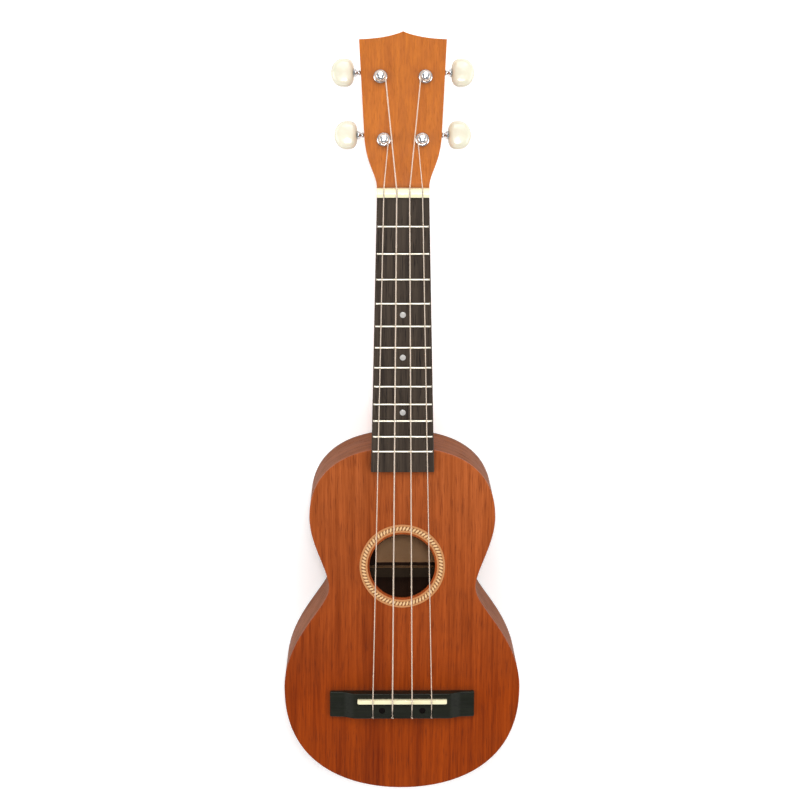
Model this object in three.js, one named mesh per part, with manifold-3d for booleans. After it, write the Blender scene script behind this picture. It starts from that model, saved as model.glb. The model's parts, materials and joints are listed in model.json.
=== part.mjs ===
// Soprano ukulele, lying on its flat back: +X to the treble side, +Y towards the headstock,
// +Z out of the soundboard. Lengths are in millimetres. While the pieces are built, y = 0 is
// the twelfth fret and z = 0 the back; the last lines move the middle of its length to y = 0.
import * as THREE from 'three';
import { mergeVertices } from 'three/addons/utils/BufferGeometryUtils.js';
import Module from 'manifold-3d';

const wasm = await Module();
wasm.setup();

// ---- Fits ----
const glueGap = 0.3; // between a piece and the curved or tilted face that it is glued to
const slotGap = 0.1; // round a piece that is let into a slot or recess
const runningGap = 0.08; // radial, between a turning shaft and its bearing

// ---- Strings and scale ----
const scaleLength = 348;
const fretCount = 12;
const saddleCompensation = 3.9;
const nutSpread = 26; // between the two outer strings
const saddleSpread = 41;
const strings = [
  { name: 'string_g', radius: 0.36, side: -1, place: -1, post: 'lower' },
  { name: 'string_c', radius: 0.48, side: -1, place: -1 / 3, post: 'upper' },
  { name: 'string_e', radius: 0.42, side: 1, place: 1 / 3, post: 'upper' },
  { name: 'string_a', radius: 0.33, side: 1, place: 1, post: 'lower' },
];
const stringLift = 0.3; // air under a string where it crosses the saddle and the nut
const stringSideGap = 0.12; // between a string and each wall of its slot
const windingTurns = 2.5;
const pointsPerTurn = 8;

// ---- Body ----
const bodyTop = 1.8; // the body starts just above the twelfth fret
const shoulderDrop = 49.4; // from the body's top to the widest place of the upper bout
const upperToWaist = 50.6;
const waistToLower = 73.2;
const lowerToTail = 73.4;
const upperHalf = 64.3;
const waistHalf = 51;
const lowerHalf = 82.5;
const bodyDepth = 60;
const soundboardThickness = 2;
const backThickness = 2.2;
const sideThickness = 1.8;
const soundHoleRadius = 22.8;
const soundHoleBelowTop = 84.5;
const rosetteMargin = 1.4; // plain wood between the hole and the rosette
const rosetteWidth = 5.5;
const rosetteDepth = 0.6;

// ---- Inside the body ----
const liningThickness = 4;
const liningHeight = 7;
const neckBlockWidth = 52;
const neckBlockLength = 28;
const tailBlockWidth = 50;
const tailBlockLength = 14;
const braceWidth = 7;
const braceHeight = 7;
const braceEndHeight = 2.5;
const braceScallop = 18;
const topBraceFromHole = 9.1; // from the hole's edge to the middle of the brace
const backBraces = { back_brace_upper: 18.6, back_brace_lower: 82 }; // below the hole's centre

// ---- Bridge and saddle ----
const bridgeLength = 101;
const bridgeWidth = 18.2;
const bridgeHeight = 8;
const bridgeFrontToSaddle = 5.2;
const bridgeBlockMargin = 1.8; // wood beyond each end of the saddle
const bridgeWingHeight = 4.6;
const bridgeTipHeight = 3;
const saddleLength = 62.4;
const saddleThickness = 3;
const saddleSeatDepth = 3.5;
const saddleHeight = 3.2; // above the bridge
const tieSlotStop = 3.3; // wood left between the tie slots and the saddle
const tieSlotSideGap = 0.32;
const tieHeight = 4.6; // of the string's tail above the soundboard

// ---- Neck, fingerboard and nut ----
const boardWidthAtNut = 35.2;
const boardWidthAtBody = 42.7;
const boardThickness = 5;
const boardPastFrets = 14.6;
const fretWidth = 1.5;
const fretHeight = 1.1;
const fretInset = 0.7;
const tangWidth = 0.6;
const tangDepth = 1.8;
const nutThickness = 6;
const nutHeight = 7.2;
const nutBackDrop = 1.6;
const nutSlotDepth = 0.8;
const shaftDepthAtNut = 13;
const shaftDepthAtBody = 15.5;
const heelCapLength = 9;
const heelLength = 52;
const heelCapHeight = 7; // of the heel's cap above the back
const heelCapCut = 9; // of the heel's oval that the cap cuts off
const heelOverlap = 5.4; // neck wood inside the body's outline before it is fitted

// ---- Headstock ----
const headTilt = THREE.MathUtils.degToRad(10);
const headThickness = 12.5;
const headLength = 104.7;
const headWaistHalf = 26.2;
const headWaistAt = 37.4;
const headCornerHalf = 29.5;
const headPeak = 5.2; // rise of the headstock's tip above its corners

// ---- Tuning machines ----
const lowerPostFromNut = 32.2;
const upperPostFromTip = 30.3;
const postFromEdge = 13; // in from the headstock's straight edge
const postRadius = 3;
const postHeight = 7.5; // above the headstock's face
const postHoleRadius = 0.8;
const stringHeightOnPost = 4.6;
const bushWall = 0.92;
const flangeLip = 0.7; // of the flange beyond the bushing's sleeve
const flangeHeight = 1.2;
const bushLength = 8;
const gearTeeth = 14;
const gearModule = 0.45;
const gearThickness = 3;
const gearBore = 1.5;
const wormPitchRadius = 1.45;
const wormLength = 6;
const toothBacklash = 0.12;
const tipClearance = 0.2;
const addendum = 0.8; // share of the module
const plateThickness = 1;
const plateWidth = 13;
const platePast = 6.5; // beyond the post at one end and the worm at the other
const lugThickness = 1.2;
const shaftRadius = 1.5;
const screwHoleRadius = 1;
const buttonFromEdge = 4.4; // out from the headstock's edge
const buttonLength = 16;
const buttonHeight = 19;
const buttonThickness = 7.5;
const buttonBoreDepth = 9;
const collarRadius = 2.6;
const collarLength = 2;

// ---- Worked out from the sizes above ----
const nutFront = scaleLength / 2;
const nutBack = nutFront + nutThickness;
const saddleAt = -(scaleLength / 2 + saddleCompensation);
const upperAt = bodyTop - shoulderDrop;
const waistAt = upperAt - upperToWaist;
const lowerAt = waistAt - waistToLower;
const tailAt = lowerAt - lowerToTail;
const soundHoleAt = bodyTop - soundHoleBelowTop;
const boardEnd = fretAt(fretCount) - boardPastFrets;
const neckEnd = bodyTop - heelOverlap;
const heelFullness = bodyDepth - heelCapHeight + heelCapCut;
const boardTop = bodyDepth + boardThickness;
const boardTaper = (boardWidthAtBody - boardWidthAtNut) / nutFront;
const sideTop = bodyDepth - soundboardThickness;
const rosetteInner = soundHoleRadius + rosetteMargin;
const rosetteOuter = rosetteInner + rosetteWidth;
const bridgeBlockHalf = saddleLength / 2 + bridgeBlockMargin;
const bridgeFront = saddleAt + bridgeFrontToSaddle;
const bridgeBack = bridgeFront - bridgeWidth;
const bridgeTop = bodyDepth + bridgeHeight;
const saddleTop = bridgeTop + saddleHeight;
const headCornerAt = headLength - headPeak;
const headFlare = (headCornerHalf - headWaistHalf) / (headCornerAt - headWaistAt);
const lowerPost = postAt(lowerPostFromNut);
const upperPost = postAt(headLength - upperPostFromTip);
const buttonGapFromPost = postFromEdge + buttonFromEdge;
const bushRadius = postRadius + runningGap + bushWall;
const flangeRadius = bushRadius + flangeLip;
const gearRadius = (gearTeeth * gearModule) / 2;
const wormLead = Math.PI * gearModule;
const gearToWorm = gearRadius + wormPitchRadius;
const wormTip = wormPitchRadius + addendum * gearModule;
const wormRoot = wormPitchRadius - addendum * gearModule - tipClearance;
const plateLow = headThickness + glueGap; // depths below the headstock's face
const plateHigh = plateLow + plateThickness;
const wormDepth = plateHigh + wormTip + runningGap;

// Distance of a fret from the twelfth, by equal temperament.
function fretAt(number) {
  return scaleLength * (2 ** (-number / 12) - 0.5);
}

// A string post stands at a fixed distance in from the headstock's straight edge.
function postAt(along) {
  return { across: headWaistHalf + (along - headWaistAt) * headFlare - postFromEdge, along };
}

// ---- Shaping tools ----

// Turns a closed geometry into a solid for cutting and joining.
function toSolid(geometry) {
  const bare = geometry.clone();
  bare.deleteAttribute('normal');
  bare.deleteAttribute('uv');
  const merged = mergeVertices(bare, 1e-4);
  return new wasm.Manifold(new wasm.Mesh({
    numProp: 3,
    vertProperties: new Float32Array(merged.attributes.position.array),
    triVerts: new Uint32Array(merged.index.array),
  }));
}

function toGeometry(solid) {
  const mesh = solid.getMesh();
  const geometry = new THREE.BufferGeometry();
  geometry.setAttribute('position', new THREE.BufferAttribute(mesh.vertProperties, 3));
  geometry.setIndex(new THREE.BufferAttribute(mesh.triVerts, 1));
  geometry.computeVertexNormals();
  return geometry;
}

function cut(geometry, ...tools) {
  return toGeometry(tools.reduce((solid, tool) => solid.subtract(toSolid(tool)), toSolid(geometry)));
}

function join(geometry, ...others) {
  return toGeometry(others.reduce((solid, other) => solid.add(toSolid(other)), toSolid(geometry)));
}

function common(geometry, tool) {
  return toGeometry(toSolid(geometry).intersect(toSolid(tool)));
}

// A box given by its lowest and highest corners.
function box(low, high) {
  const size = high.map((value, axis) => value - low[axis]);
  const middle = high.map((value, axis) => (value + low[axis]) / 2);
  return new THREE.BoxGeometry(...size).translate(...middle);
}

// An upright prism from one height to another.
function prism(shape, low, high, curveSegments = 12) {
  const settings = { depth: high - low, bevelEnabled: false, curveSegments };
  return new THREE.ExtrudeGeometry(shape, settings).translate(0, 0, low);
}

// An outline drawn in x and z, as deep in y as the gap between front and back.
function frontPrism(shape, front, back) {
  const settings = { depth: back - front, bevelEnabled: false, curveSegments: 6 };
  return new THREE.ExtrudeGeometry(shape, settings).rotateX(Math.PI / 2).translate(0, back, 0);
}

// An outline drawn in y and z, centred on x = 0.
function sidePrism(shape, width) {
  const settings = { depth: width, bevelEnabled: false, curveSegments: 6 };
  const geometry = new THREE.ExtrudeGeometry(shape, settings).translate(0, 0, -width / 2);
  return geometry.rotateY(Math.PI / 2).rotateX(Math.PI / 2);
}

// A turned piece about the z axis, from radius and height pairs.
function turned(profile, segments = 16) {
  const points = profile.map(([radius, height]) => new THREE.Vector2(radius, height));
  return new THREE.LatheGeometry(points, segments).rotateX(Math.PI / 2);
}

function rod(radius, low, high, segments = 16) {
  const height = high - low;
  const geometry = new THREE.CylinderGeometry(radius, radius, height, segments).rotateX(Math.PI / 2);
  return geometry.translate(0, 0, (low + high) / 2);
}

// The same piece for the other side of the instrument.
function mirrored(geometry) {
  const copy = geometry.index ? geometry.toNonIndexed() : geometry.clone();
  const position = copy.attributes.position;
  for (let corner = 0; corner < position.count; corner += 3) {
    const second = new THREE.Vector3().fromBufferAttribute(position, corner + 1);
    const third = new THREE.Vector3().fromBufferAttribute(position, corner + 2);
    position.setXYZ(corner + 1, ...third);
    position.setXYZ(corner + 2, ...second);
  }
  return copy.scale(-1, 1, 1);
}

// Moves every corner of a geometry to where the function puts it.
function reshape(geometry, move) {
  const position = geometry.attributes.position;
  const point = new THREE.Vector3();
  for (let index = 0; index < position.count; index += 1) {
    position.setXYZ(index, ...move(point.fromBufferAttribute(position, index)));
  }
  return geometry;
}

// ---- Finishes ----
const finishes = {
  mahogany: { color: 0xb5622a, roughness: 0.45, metalness: 0 },
  sideWood: { color: 0x8c5530, roughness: 0.5, metalness: 0 },
  neckWood: { color: 0xc56c2b, roughness: 0.45, metalness: 0 },
  innerWood: { color: 0xc79a63, roughness: 0.75, metalness: 0 },
  rosette: { color: 0xcfa56e, roughness: 0.5, metalness: 0 },
  rosewood: { color: 0x3c2c26, roughness: 0.6, metalness: 0 },
  ebonised: { color: 0x1d1b1a, roughness: 0.45, metalness: 0 },
  bone: { color: 0xefe6c8, roughness: 0.4, metalness: 0 },
  ivoryPlastic: { color: 0xf1ead2, roughness: 0.25, metalness: 0 },
  fretWire: { color: 0xcfcaae, roughness: 0.3, metalness: 1 },
  chrome: { color: 0xd3d6d8, roughness: 0.15, metalness: 1 },
  brass: { color: 0xb9974f, roughness: 0.35, metalness: 1 },
  nylon: { color: 0xe9e4da, roughness: 0.3, metalness: 0 },
};

const ukulele = new THREE.Group();

function addPiece(parent, name, geometry, finish) {
  const mesh = new THREE.Mesh(geometry, new THREE.MeshStandardMaterial(finishes[finish]));
  mesh.name = name;
  parent.add(mesh);
  return mesh;
}

// ---- Body outline ----

// The treble half of the body's outline, from the top of the centre line round to the tail.
// Four curves meet at the widest place of each bout and at the waist. Each handle is a share
// of the half-width or of the length that its curve covers.
const bodyCurves = [
  new THREE.CubicBezierCurve(
    new THREE.Vector2(0, bodyTop),
    new THREE.Vector2(0.55 * upperHalf, bodyTop),
    new THREE.Vector2(upperHalf, upperAt + 0.72 * shoulderDrop),
    new THREE.Vector2(upperHalf, upperAt),
  ),
  new THREE.CubicBezierCurve(
    new THREE.Vector2(upperHalf, upperAt),
    new THREE.Vector2(upperHalf, upperAt - 0.4 * upperToWaist),
    new THREE.Vector2(waistHalf, waistAt + 0.25 * upperToWaist),
    new THREE.Vector2(waistHalf, waistAt),
  ),
  new THREE.CubicBezierCurve(
    new THREE.Vector2(waistHalf, waistAt),
    new THREE.Vector2(waistHalf, waistAt - 0.2 * waistToLower),
    new THREE.Vector2(lowerHalf, lowerAt + 0.51 * waistToLower),
    new THREE.Vector2(lowerHalf, lowerAt),
  ),
  new THREE.CubicBezierCurve(
    new THREE.Vector2(lowerHalf, lowerAt),
    new THREE.Vector2(lowerHalf, lowerAt - 0.77 * lowerToTail),
    new THREE.Vector2(0.46 * lowerHalf, tailAt),
    new THREE.Vector2(0, tailAt),
  ),
];

// Points of the treble half, moved inwards from the outline by the inset.
function halfOutline(inset, stepsPerCurve = 12) {
  const points = [];
  bodyCurves.forEach((curve, curveIndex) => {
    for (let step = curveIndex === 0 ? 0 : 1; step <= stepsPerCurve; step += 1) {
      const along = step / stepsPerCurve;
      const point = curve.getPoint(along);
      const tangent = curve.getTangent(along);
      points.push(new THREE.Vector2(point.x + tangent.y * inset, point.y - tangent.x * inset));
    }
  });
  points[0].x = 0;
  points[points.length - 1].x = 0;
  return points;
}

function bodyShape(inset) {
  const treble = halfOutline(inset);
  const bass = treble.slice(1, -1).reverse().map((point) => new THREE.Vector2(-point.x, point.y));
  return new THREE.Shape([...treble, ...bass]);
}

// Half of the body's width at one place along it, at the given inset.
function halfWidthAt(y, inset) {
  const points = halfOutline(inset, 48);
  const after = points.findIndex((point, index) => index > 0 && point.y <= y);
  const [upper, lower] = [points[after - 1], points[after]];
  const share = (upper.y - y) / (upper.y - lower.y);
  return upper.x + share * (lower.x - upper.x);
}

// A bent strip that follows the treble half between two insets.
function strip(outerInset, innerInset, low, high) {
  const outer = halfOutline(outerInset);
  const inner = halfOutline(innerInset).reverse();
  return prism(new THREE.Shape([...outer, ...inner]), low, high);
}

function ringShape(inner, outer, y) {
  const shape = new THREE.Shape().absarc(0, y, outer, 0, 2 * Math.PI);
  shape.holes.push(new THREE.Path().absarc(0, y, inner, 0, 2 * Math.PI));
  return shape;
}

// ---- Soundboard, rosette, back and sides ----
const soundboardShape = bodyShape(0);
soundboardShape.holes.push(new THREE.Path().absarc(0, soundHoleAt, soundHoleRadius, 0, 2 * Math.PI));
const rosetteLow = bodyDepth - rosetteDepth;
const recessShape = ringShape(rosetteInner, rosetteOuter, soundHoleAt);
const rosetteRecess = prism(recessShape, rosetteLow, bodyDepth + 1, 16);
const soundboard = cut(prism(soundboardShape, sideTop, bodyDepth, 16), rosetteRecess);
addPiece(ukulele, 'soundboard', soundboard, 'mahogany');

const rosetteShape = ringShape(rosetteInner + slotGap, rosetteOuter - slotGap, soundHoleAt);
addPiece(ukulele, 'rosette', prism(rosetteShape, rosetteLow, bodyDepth, 16), 'rosette');
addPiece(ukulele, 'back_plate', prism(bodyShape(0), 0, backThickness), 'mahogany');

const side = strip(0, sideThickness, backThickness, sideTop);
addPiece(ukulele, 'side_right', side, 'sideWood');
addPiece(ukulele, 'side_left', mirrored(side), 'sideWood');

// ---- Blocks: each fills the body's curve at one end, between the back and the soundboard ----
const insideShape = bodyShape(sideThickness + glueGap);
const insideBody = prism(insideShape, backThickness, sideTop);
const neckBlockEnd = bodyTop - sideThickness - glueGap - neckBlockLength;
const neckBlockBox = box([-neckBlockWidth / 2, neckBlockEnd, 0], [neckBlockWidth / 2, bodyTop, bodyDepth]);
addPiece(ukulele, 'neck_block', common(insideBody, neckBlockBox), 'innerWood');

const tailBlockStart = tailAt + sideThickness + glueGap + tailBlockLength;
const tailBlockBox = box([-tailBlockWidth / 2, tailAt, 0], [tailBlockWidth / 2, tailBlockStart, bodyDepth]);
addPiece(ukulele, 'tail_block', common(insideBody, tailBlockBox), 'innerWood');

// ---- Linings: strips along the edges of the sides, from block to block ----
const liningInset = sideThickness + glueGap;
const liningLevels = {
  back_lining: [backThickness, backThickness + liningHeight],
  front_lining: [sideTop - liningHeight, sideTop],
};
for (const [name, [low, high]] of Object.entries(liningLevels)) {
  const wholeStrip = strip(liningInset, liningInset + liningThickness, low, high);
  const neckNotch = neckBlockWidth / 2 + glueGap;
  const tailNotch = tailBlockWidth / 2 + glueGap;
  const lining = cut(
    wholeStrip,
    box([-1, neckBlockEnd, low - 1], [neckNotch, bodyTop + 1, high + 1]),
    box([-1, tailAt - 1, low - 1], [tailNotch, tailBlockStart, high + 1]),
  );
  addPiece(ukulele, `${name}_right`, lining, 'innerWood');
  addPiece(ukulele, `${name}_left`, mirrored(lining), 'innerWood');
}

// ---- Braces: bars across the soundboard and the back, thinned at their ends ----
function brace(y, glued, free) {
  const inset = liningInset + liningThickness + glueGap;
  const edges = [y - braceWidth / 2, y, y + braceWidth / 2];
  const half = Math.min(...edges.map((edge) => halfWidthAt(edge, inset)));
  const end = glued + Math.sign(free - glued) * braceEndHeight;
  const shape = new THREE.Shape([
    new THREE.Vector2(-half, glued),
    new THREE.Vector2(half, glued),
    new THREE.Vector2(half, end),
    new THREE.Vector2(half - braceScallop, free),
    new THREE.Vector2(braceScallop - half, free),
    new THREE.Vector2(-half, end),
  ]);
  return frontPrism(shape, y - braceWidth / 2, y + braceWidth / 2);
}
const topBraceReach = soundHoleRadius + topBraceFromHole;
const topBraces = { top_brace_upper: topBraceReach, top_brace_lower: -topBraceReach };
for (const [name, above] of Object.entries(topBraces)) {
  addPiece(ukulele, name, brace(soundHoleAt + above, sideTop, sideTop - braceHeight), 'innerWood');
}
for (const [name, below] of Object.entries(backBraces)) {
  const level = backThickness + braceHeight;
  addPiece(ukulele, name, brace(soundHoleAt - below, backThickness, level), 'innerWood');
}

// ---- Bridge and saddle ----
const wingHalf = bridgeLength / 2;
const bridgeShape = new THREE.Shape([
  new THREE.Vector2(-wingHalf, bodyDepth),
  new THREE.Vector2(wingHalf, bodyDepth),
  new THREE.Vector2(wingHalf, bodyDepth + bridgeTipHeight),
  new THREE.Vector2(bridgeBlockHalf + 1.5, bodyDepth + bridgeWingHeight),
  new THREE.Vector2(bridgeBlockHalf, bridgeTop),
  new THREE.Vector2(-bridgeBlockHalf, bridgeTop),
  new THREE.Vector2(-bridgeBlockHalf - 1.5, bodyDepth + bridgeWingHeight),
  new THREE.Vector2(-wingHalf, bodyDepth + bridgeTipHeight),
]);
const saddleHalf = saddleLength / 2 + slotGap;
const saddleReach = saddleThickness / 2 + slotGap;
const saddleSeat = bridgeTop - saddleSeatDepth;
const saddleSlot = box(
  [-saddleHalf, saddleAt - saddleReach, saddleSeat],
  [saddleHalf, saddleAt + saddleReach, bridgeTop + 1],
);
const tieSlotEnd = saddleAt - saddleThickness / 2 - tieSlotStop;
const tieSlots = strings.map(({ place, radius }) => {
  const x = (place * saddleSpread) / 2;
  const reach = radius + tieSlotSideGap;
  const floor = bodyDepth + tieHeight - radius - slotGap;
  return box([x - reach, bridgeBack - 1, floor], [x + reach, tieSlotEnd, bridgeTop + 1]);
});
const bridge = cut(frontPrism(bridgeShape, bridgeBack, bridgeFront), saddleSlot, ...tieSlots);
addPiece(ukulele, 'bridge', bridge, 'ebonised');

const saddleShape = new THREE.Shape()
  .moveTo(-saddleLength / 2, saddleSeat)
  .lineTo(saddleLength / 2, saddleSeat)
  .lineTo(saddleLength / 2, saddleTop - 1.2)
  .quadraticCurveTo(saddleLength / 2, saddleTop, saddleLength / 2 - 3, saddleTop)
  .lineTo(3 - saddleLength / 2, saddleTop)
  .quadraticCurveTo(-saddleLength / 2, saddleTop, -saddleLength / 2, saddleTop - 1.2);
const saddleFront = saddleAt + saddleThickness / 2;
const saddleBack = saddleAt - saddleThickness / 2;
addPiece(ukulele, 'saddle', frontPrism(saddleShape, saddleBack, saddleFront), 'bone');

// ---- Fingerboard, frets and nut ----
function boardHalfAt(y) {
  return (boardWidthAtBody - boardTaper * y) / 2;
}

const boardShape = new THREE.Shape([
  new THREE.Vector2(-boardHalfAt(boardEnd), boardEnd),
  new THREE.Vector2(boardHalfAt(boardEnd), boardEnd),
  new THREE.Vector2(boardHalfAt(nutFront), nutFront),
  new THREE.Vector2(-boardHalfAt(nutFront), nutFront),
]);
const fretNumbers = Array.from({ length: fretCount }, (_, index) => index + 1);
const fretSlots = fretNumbers.map((number) => {
  const y = fretAt(number);
  const reach = tangWidth / 2 + slotGap;
  return box(
    [-boardWidthAtBody, y - reach, boardTop - tangDepth - slotGap],
    [boardWidthAtBody, y + reach, boardTop + 1],
  );
});
addPiece(ukulele, 'fingerboard', cut(prism(boardShape, bodyDepth, boardTop), ...fretSlots), 'rosewood');

// A fret has a low crown on the board and a tang down in its slot.
for (const number of fretNumbers) {
  const y = fretAt(number);
  const shape = new THREE.Shape()
    .moveTo(y - tangWidth / 2, boardTop - tangDepth)
    .lineTo(y + tangWidth / 2, boardTop - tangDepth)
    .lineTo(y + tangWidth / 2, boardTop)
    .lineTo(y + fretWidth / 2, boardTop)
    .quadraticCurveTo(y + fretWidth / 2, boardTop + fretHeight, y, boardTop + fretHeight)
    .quadraticCurveTo(y - fretWidth / 2, boardTop + fretHeight, y - fretWidth / 2, boardTop)
    .lineTo(y - tangWidth / 2, boardTop);
  const fret = sidePrism(shape, 2 * (boardHalfAt(y) - fretInset));
  addPiece(ukulele, `fret_${String(number).padStart(2, '0')}`, fret, 'fretWire');
}

const nutTop = bodyDepth + nutHeight;
const nutShape = new THREE.Shape()
  .moveTo(nutFront, bodyDepth)
  .lineTo(nutBack, bodyDepth)
  .lineTo(nutBack, nutTop - nutBackDrop)
  .quadraticCurveTo(nutBack - 1, nutTop, nutFront + 1, nutTop)
  .lineTo(nutFront, nutTop - 0.5);
const nutSlots = strings.map(({ place, radius }) => {
  const x = (place * nutSpread) / 2;
  const reach = radius + stringSideGap;
  const floor = nutTop - nutSlotDepth;
  return box([x - reach, nutFront - 1, floor], [x + reach, nutBack + 1, nutTop + 1]);
});
addPiece(ukulele, 'nut', cut(sidePrism(nutShape, boardWidthAtNut), ...nutSlots), 'bone');

// ---- Neck: shaft and heel, with the headstock and its tuner holes, from one piece of wood ----

// Depth of the shaft's oval below the fingerboard, growing into the heel near the body.
function neckDepthAt(y) {
  const shaft = shaftDepthAtBody + (shaftDepthAtNut - shaftDepthAtBody) * (y / nutBack);
  const past = (y - bodyTop - heelCapLength) / (heelLength - heelCapLength);
  return shaft + (heelFullness - shaft) * (1 - THREE.MathUtils.clamp(past, 0, 1)) ** 2.4;
}

// How round the section is: an oval along the shaft, squarer where the headstock starts.
function neckRoundness(y) {
  return 1 - 0.6 * THREE.MathUtils.smoothstep(y, nutBack - 24, nutBack);
}

const unitSection = new THREE.Shape().absarc(0, 0, 1, Math.PI, 2 * Math.PI);
const unitLength = { depth: 1, steps: 22, bevelEnabled: false, curveSegments: 14 };
const neckShaft = reshape(new THREE.ExtrudeGeometry(unitSection, unitLength), (point) => {
  const along = 1 - (1 - point.z) ** 1.8;
  const y = nutBack + (neckEnd - nutBack) * along;
  const power = neckRoundness(y);
  const across = Math.sign(point.x) * Math.abs(point.x) ** power;
  const below = Math.max(0, -point.y) ** power;
  const z = Math.max(bodyDepth - below * neckDepthAt(y), heelCapHeight);
  return [across * boardHalfAt(Math.min(y, nutFront)), y, z];
});

// The treble half of the headstock's outline, from the nut round to the soft peak of its tip.
const headEdge = new THREE.Path()
  .moveTo(boardWidthAtNut / 2, 0)
  .bezierCurveTo(
    boardWidthAtNut / 2, headWaistAt * 0.27,
    headWaistHalf * 0.97, headWaistAt * 0.43,
    headWaistHalf, headWaistAt,
  )
  .lineTo(headCornerHalf, headCornerAt)
  .bezierCurveTo(
    headCornerHalf * 0.66, headCornerAt + headPeak * 0.06,
    headCornerHalf * 0.3, headCornerAt + headPeak * 0.3,
    0, headLength,
  )
  .getPoints(8);
const otherEdge = headEdge.slice(0, -1).reverse().map((point) => new THREE.Vector2(-point.x, point.y));
const headShape = new THREE.Shape([...headEdge, ...otherEdge]);
const posts = [lowerPost, upperPost].flatMap((post) => [-1, 1].map((hand) => ({ ...post, hand })));
const tunerHoles = posts.flatMap(({ across, along, hand }) => [
  rod(bushRadius + glueGap, -bushLength - glueGap, 1).translate(hand * across, along, 0),
  rod(postRadius + glueGap, -headThickness - 1, 1).translate(hand * across, along, 0),
]);
const headstock = cut(prism(headShape, -headThickness, 0), ...tunerHoles);
headstock.rotateX(-headTilt).translate(0, nutBack, bodyDepth);
const bodySpace = prism(bodyShape(-glueGap), -1, bodyDepth + 1);
addPiece(ukulele, 'neck', cut(join(neckShaft, headstock), bodySpace), 'neckWood');

// ---- Tuning machines, in the headstock's own tilted frame: z = 0 is its face ----
const headFrame = new THREE.Group();
headFrame.position.set(0, nutBack, bodyDepth);
headFrame.rotation.x = -headTilt;
ukulele.add(headFrame);

// Flanged sleeve in the headstock's face, in which the post turns.
const bushBore = postRadius + runningGap;
const bushing = turned([
  [bushBore, -bushLength],
  [bushRadius, -bushLength],
  [bushRadius, glueGap],
  [flangeRadius, glueGap],
  [flangeRadius, flangeHeight * 0.6],
  [flangeRadius - 0.7, flangeHeight],
  [bushBore, flangeHeight],
  [bushBore, -bushLength],
]);

// String post: a waisted head above the face, a shank in the sleeve and a thin end for the gear.
const gearLow = -wormDepth - gearThickness / 2;
const postShank = turned([
  [0, gearLow - 0.8],
  [gearBore, gearLow - 0.8],
  [gearBore, gearLow + gearThickness + slotGap],
  [postRadius, gearLow + gearThickness + slotGap],
  [postRadius, flangeHeight + 0.4],
  [postRadius - 0.4, flangeHeight + 1.4],
  [postRadius - 0.4, postHeight - 1.8],
  [postRadius, postHeight - 0.8],
  [postRadius - 0.6, postHeight],
  [0, postHeight],
]);
const stringHole = rod(postHoleRadius, -postRadius - 1, postRadius + 1, 8).rotateX(Math.PI / 2);
const post = cut(postShank, stringHole.translate(0, 0, stringHeightOnPost));

// Gear: straight-sided teeth, leaning along the thread of the worm.
const toothHalf = (Math.PI * gearModule) / 4 - toothBacklash / 2;
const gearTip = gearRadius + addendum * gearModule;
const gearRoot = gearRadius - addendum * gearModule - tipClearance;
const flankSlope = Math.tan(THREE.MathUtils.degToRad(20));
function toothCorner(tooth, radius, hand) {
  const half = toothHalf + (gearRadius - radius) * flankSlope;
  const angle = Math.PI / 2 + (2 * Math.PI * tooth) / gearTeeth + (hand * half) / gearRadius;
  return new THREE.Vector2(radius * Math.cos(angle), radius * Math.sin(angle));
}
const toothNumbers = Array.from({ length: gearTeeth }, (_, index) => index);
const gearShape = new THREE.Shape(toothNumbers.flatMap((tooth) => [
  toothCorner(tooth, gearRoot, -1),
  toothCorner(tooth, gearTip, -1),
  toothCorner(tooth, gearTip, 1),
  toothCorner(tooth, gearRoot, 1),
]));
gearShape.holes.push(new THREE.Path().absarc(0, 0, gearBore + slotGap, 0, 2 * Math.PI));
const threadLean = wormLead / (2 * Math.PI * wormPitchRadius);
const gear = reshape(prism(gearShape, -gearThickness / 2, gearThickness / 2, 8), (point) => {
  const turn = (point.z * threadLean) / gearRadius;
  const turnedPoint = point.clone().applyAxisAngle(new THREE.Vector3(0, 0, 1), turn);
  return [turnedPoint.x, turnedPoint.y, turnedPoint.z - wormDepth];
});

// Worm and its shaft, along x. The thread is a turned bar whose radius rises and falls with
// the place along one lead of the helix. A quarter lead puts a gap opposite the gear's tooth.
const rowsPerLead = 6;
const wormRows = Math.round((wormLength / wormLead) * rowsPerLead);
const inRow = wormLead / rowsPerLead;
const wormHalf = (wormRows * inRow) / 2;
function threadRadius(distance) {
  const phase = Math.abs(distance / wormLead - Math.round(distance / wormLead));
  const rise = THREE.MathUtils.clamp((1 / 3 - phase) * 4, 0, 1);
  return wormRoot + (wormTip - wormRoot) * rise;
}
const lugFrom = wormHalf + 0.5;
const lugTo = lugFrom + lugThickness;
const buttonEnd = buttonGapFromPost + buttonLength;
const wormProfile = [[0, -lugTo - 0.6], [wormRoot, -lugTo - 0.6]];
for (let row = 0; row <= wormRows; row += 1) {
  wormProfile.push([wormRoot + 0.01, -wormHalf + row * inRow]);
}
wormProfile.push(
  [wormRoot, lugFrom - 0.2],
  [shaftRadius, lugFrom - 0.2],
  [shaftRadius, buttonGapFromPost - collarLength],
  [collarRadius, buttonGapFromPost - slotGap],
  [shaftRadius - 0.2, buttonGapFromPost - slotGap],
  [shaftRadius - 0.2, buttonGapFromPost + buttonBoreDepth - slotGap],
  [0, buttonGapFromPost + buttonBoreDepth - slotGap],
);
const wormShaft = reshape(turned(wormProfile, 12), (point) => {
  const radius = Math.hypot(point.x, point.y);
  const onThread = Math.abs(radius - wormRoot - 0.01) < 0.005 && Math.abs(point.z) <= wormHalf + 0.01;
  const inside = Math.abs(point.z) < wormHalf - inRow / 2;
  if (!onThread || !inside) return [point.x, point.y, point.z];
  const angle = Math.atan2(point.y, point.x);
  const alongThread = point.z - (angle / (2 * Math.PI) - 1 / 4) * wormLead;
  const scale = threadRadius(alongThread) / radius;
  return [point.x * scale, point.y * scale, point.z];
});
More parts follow.
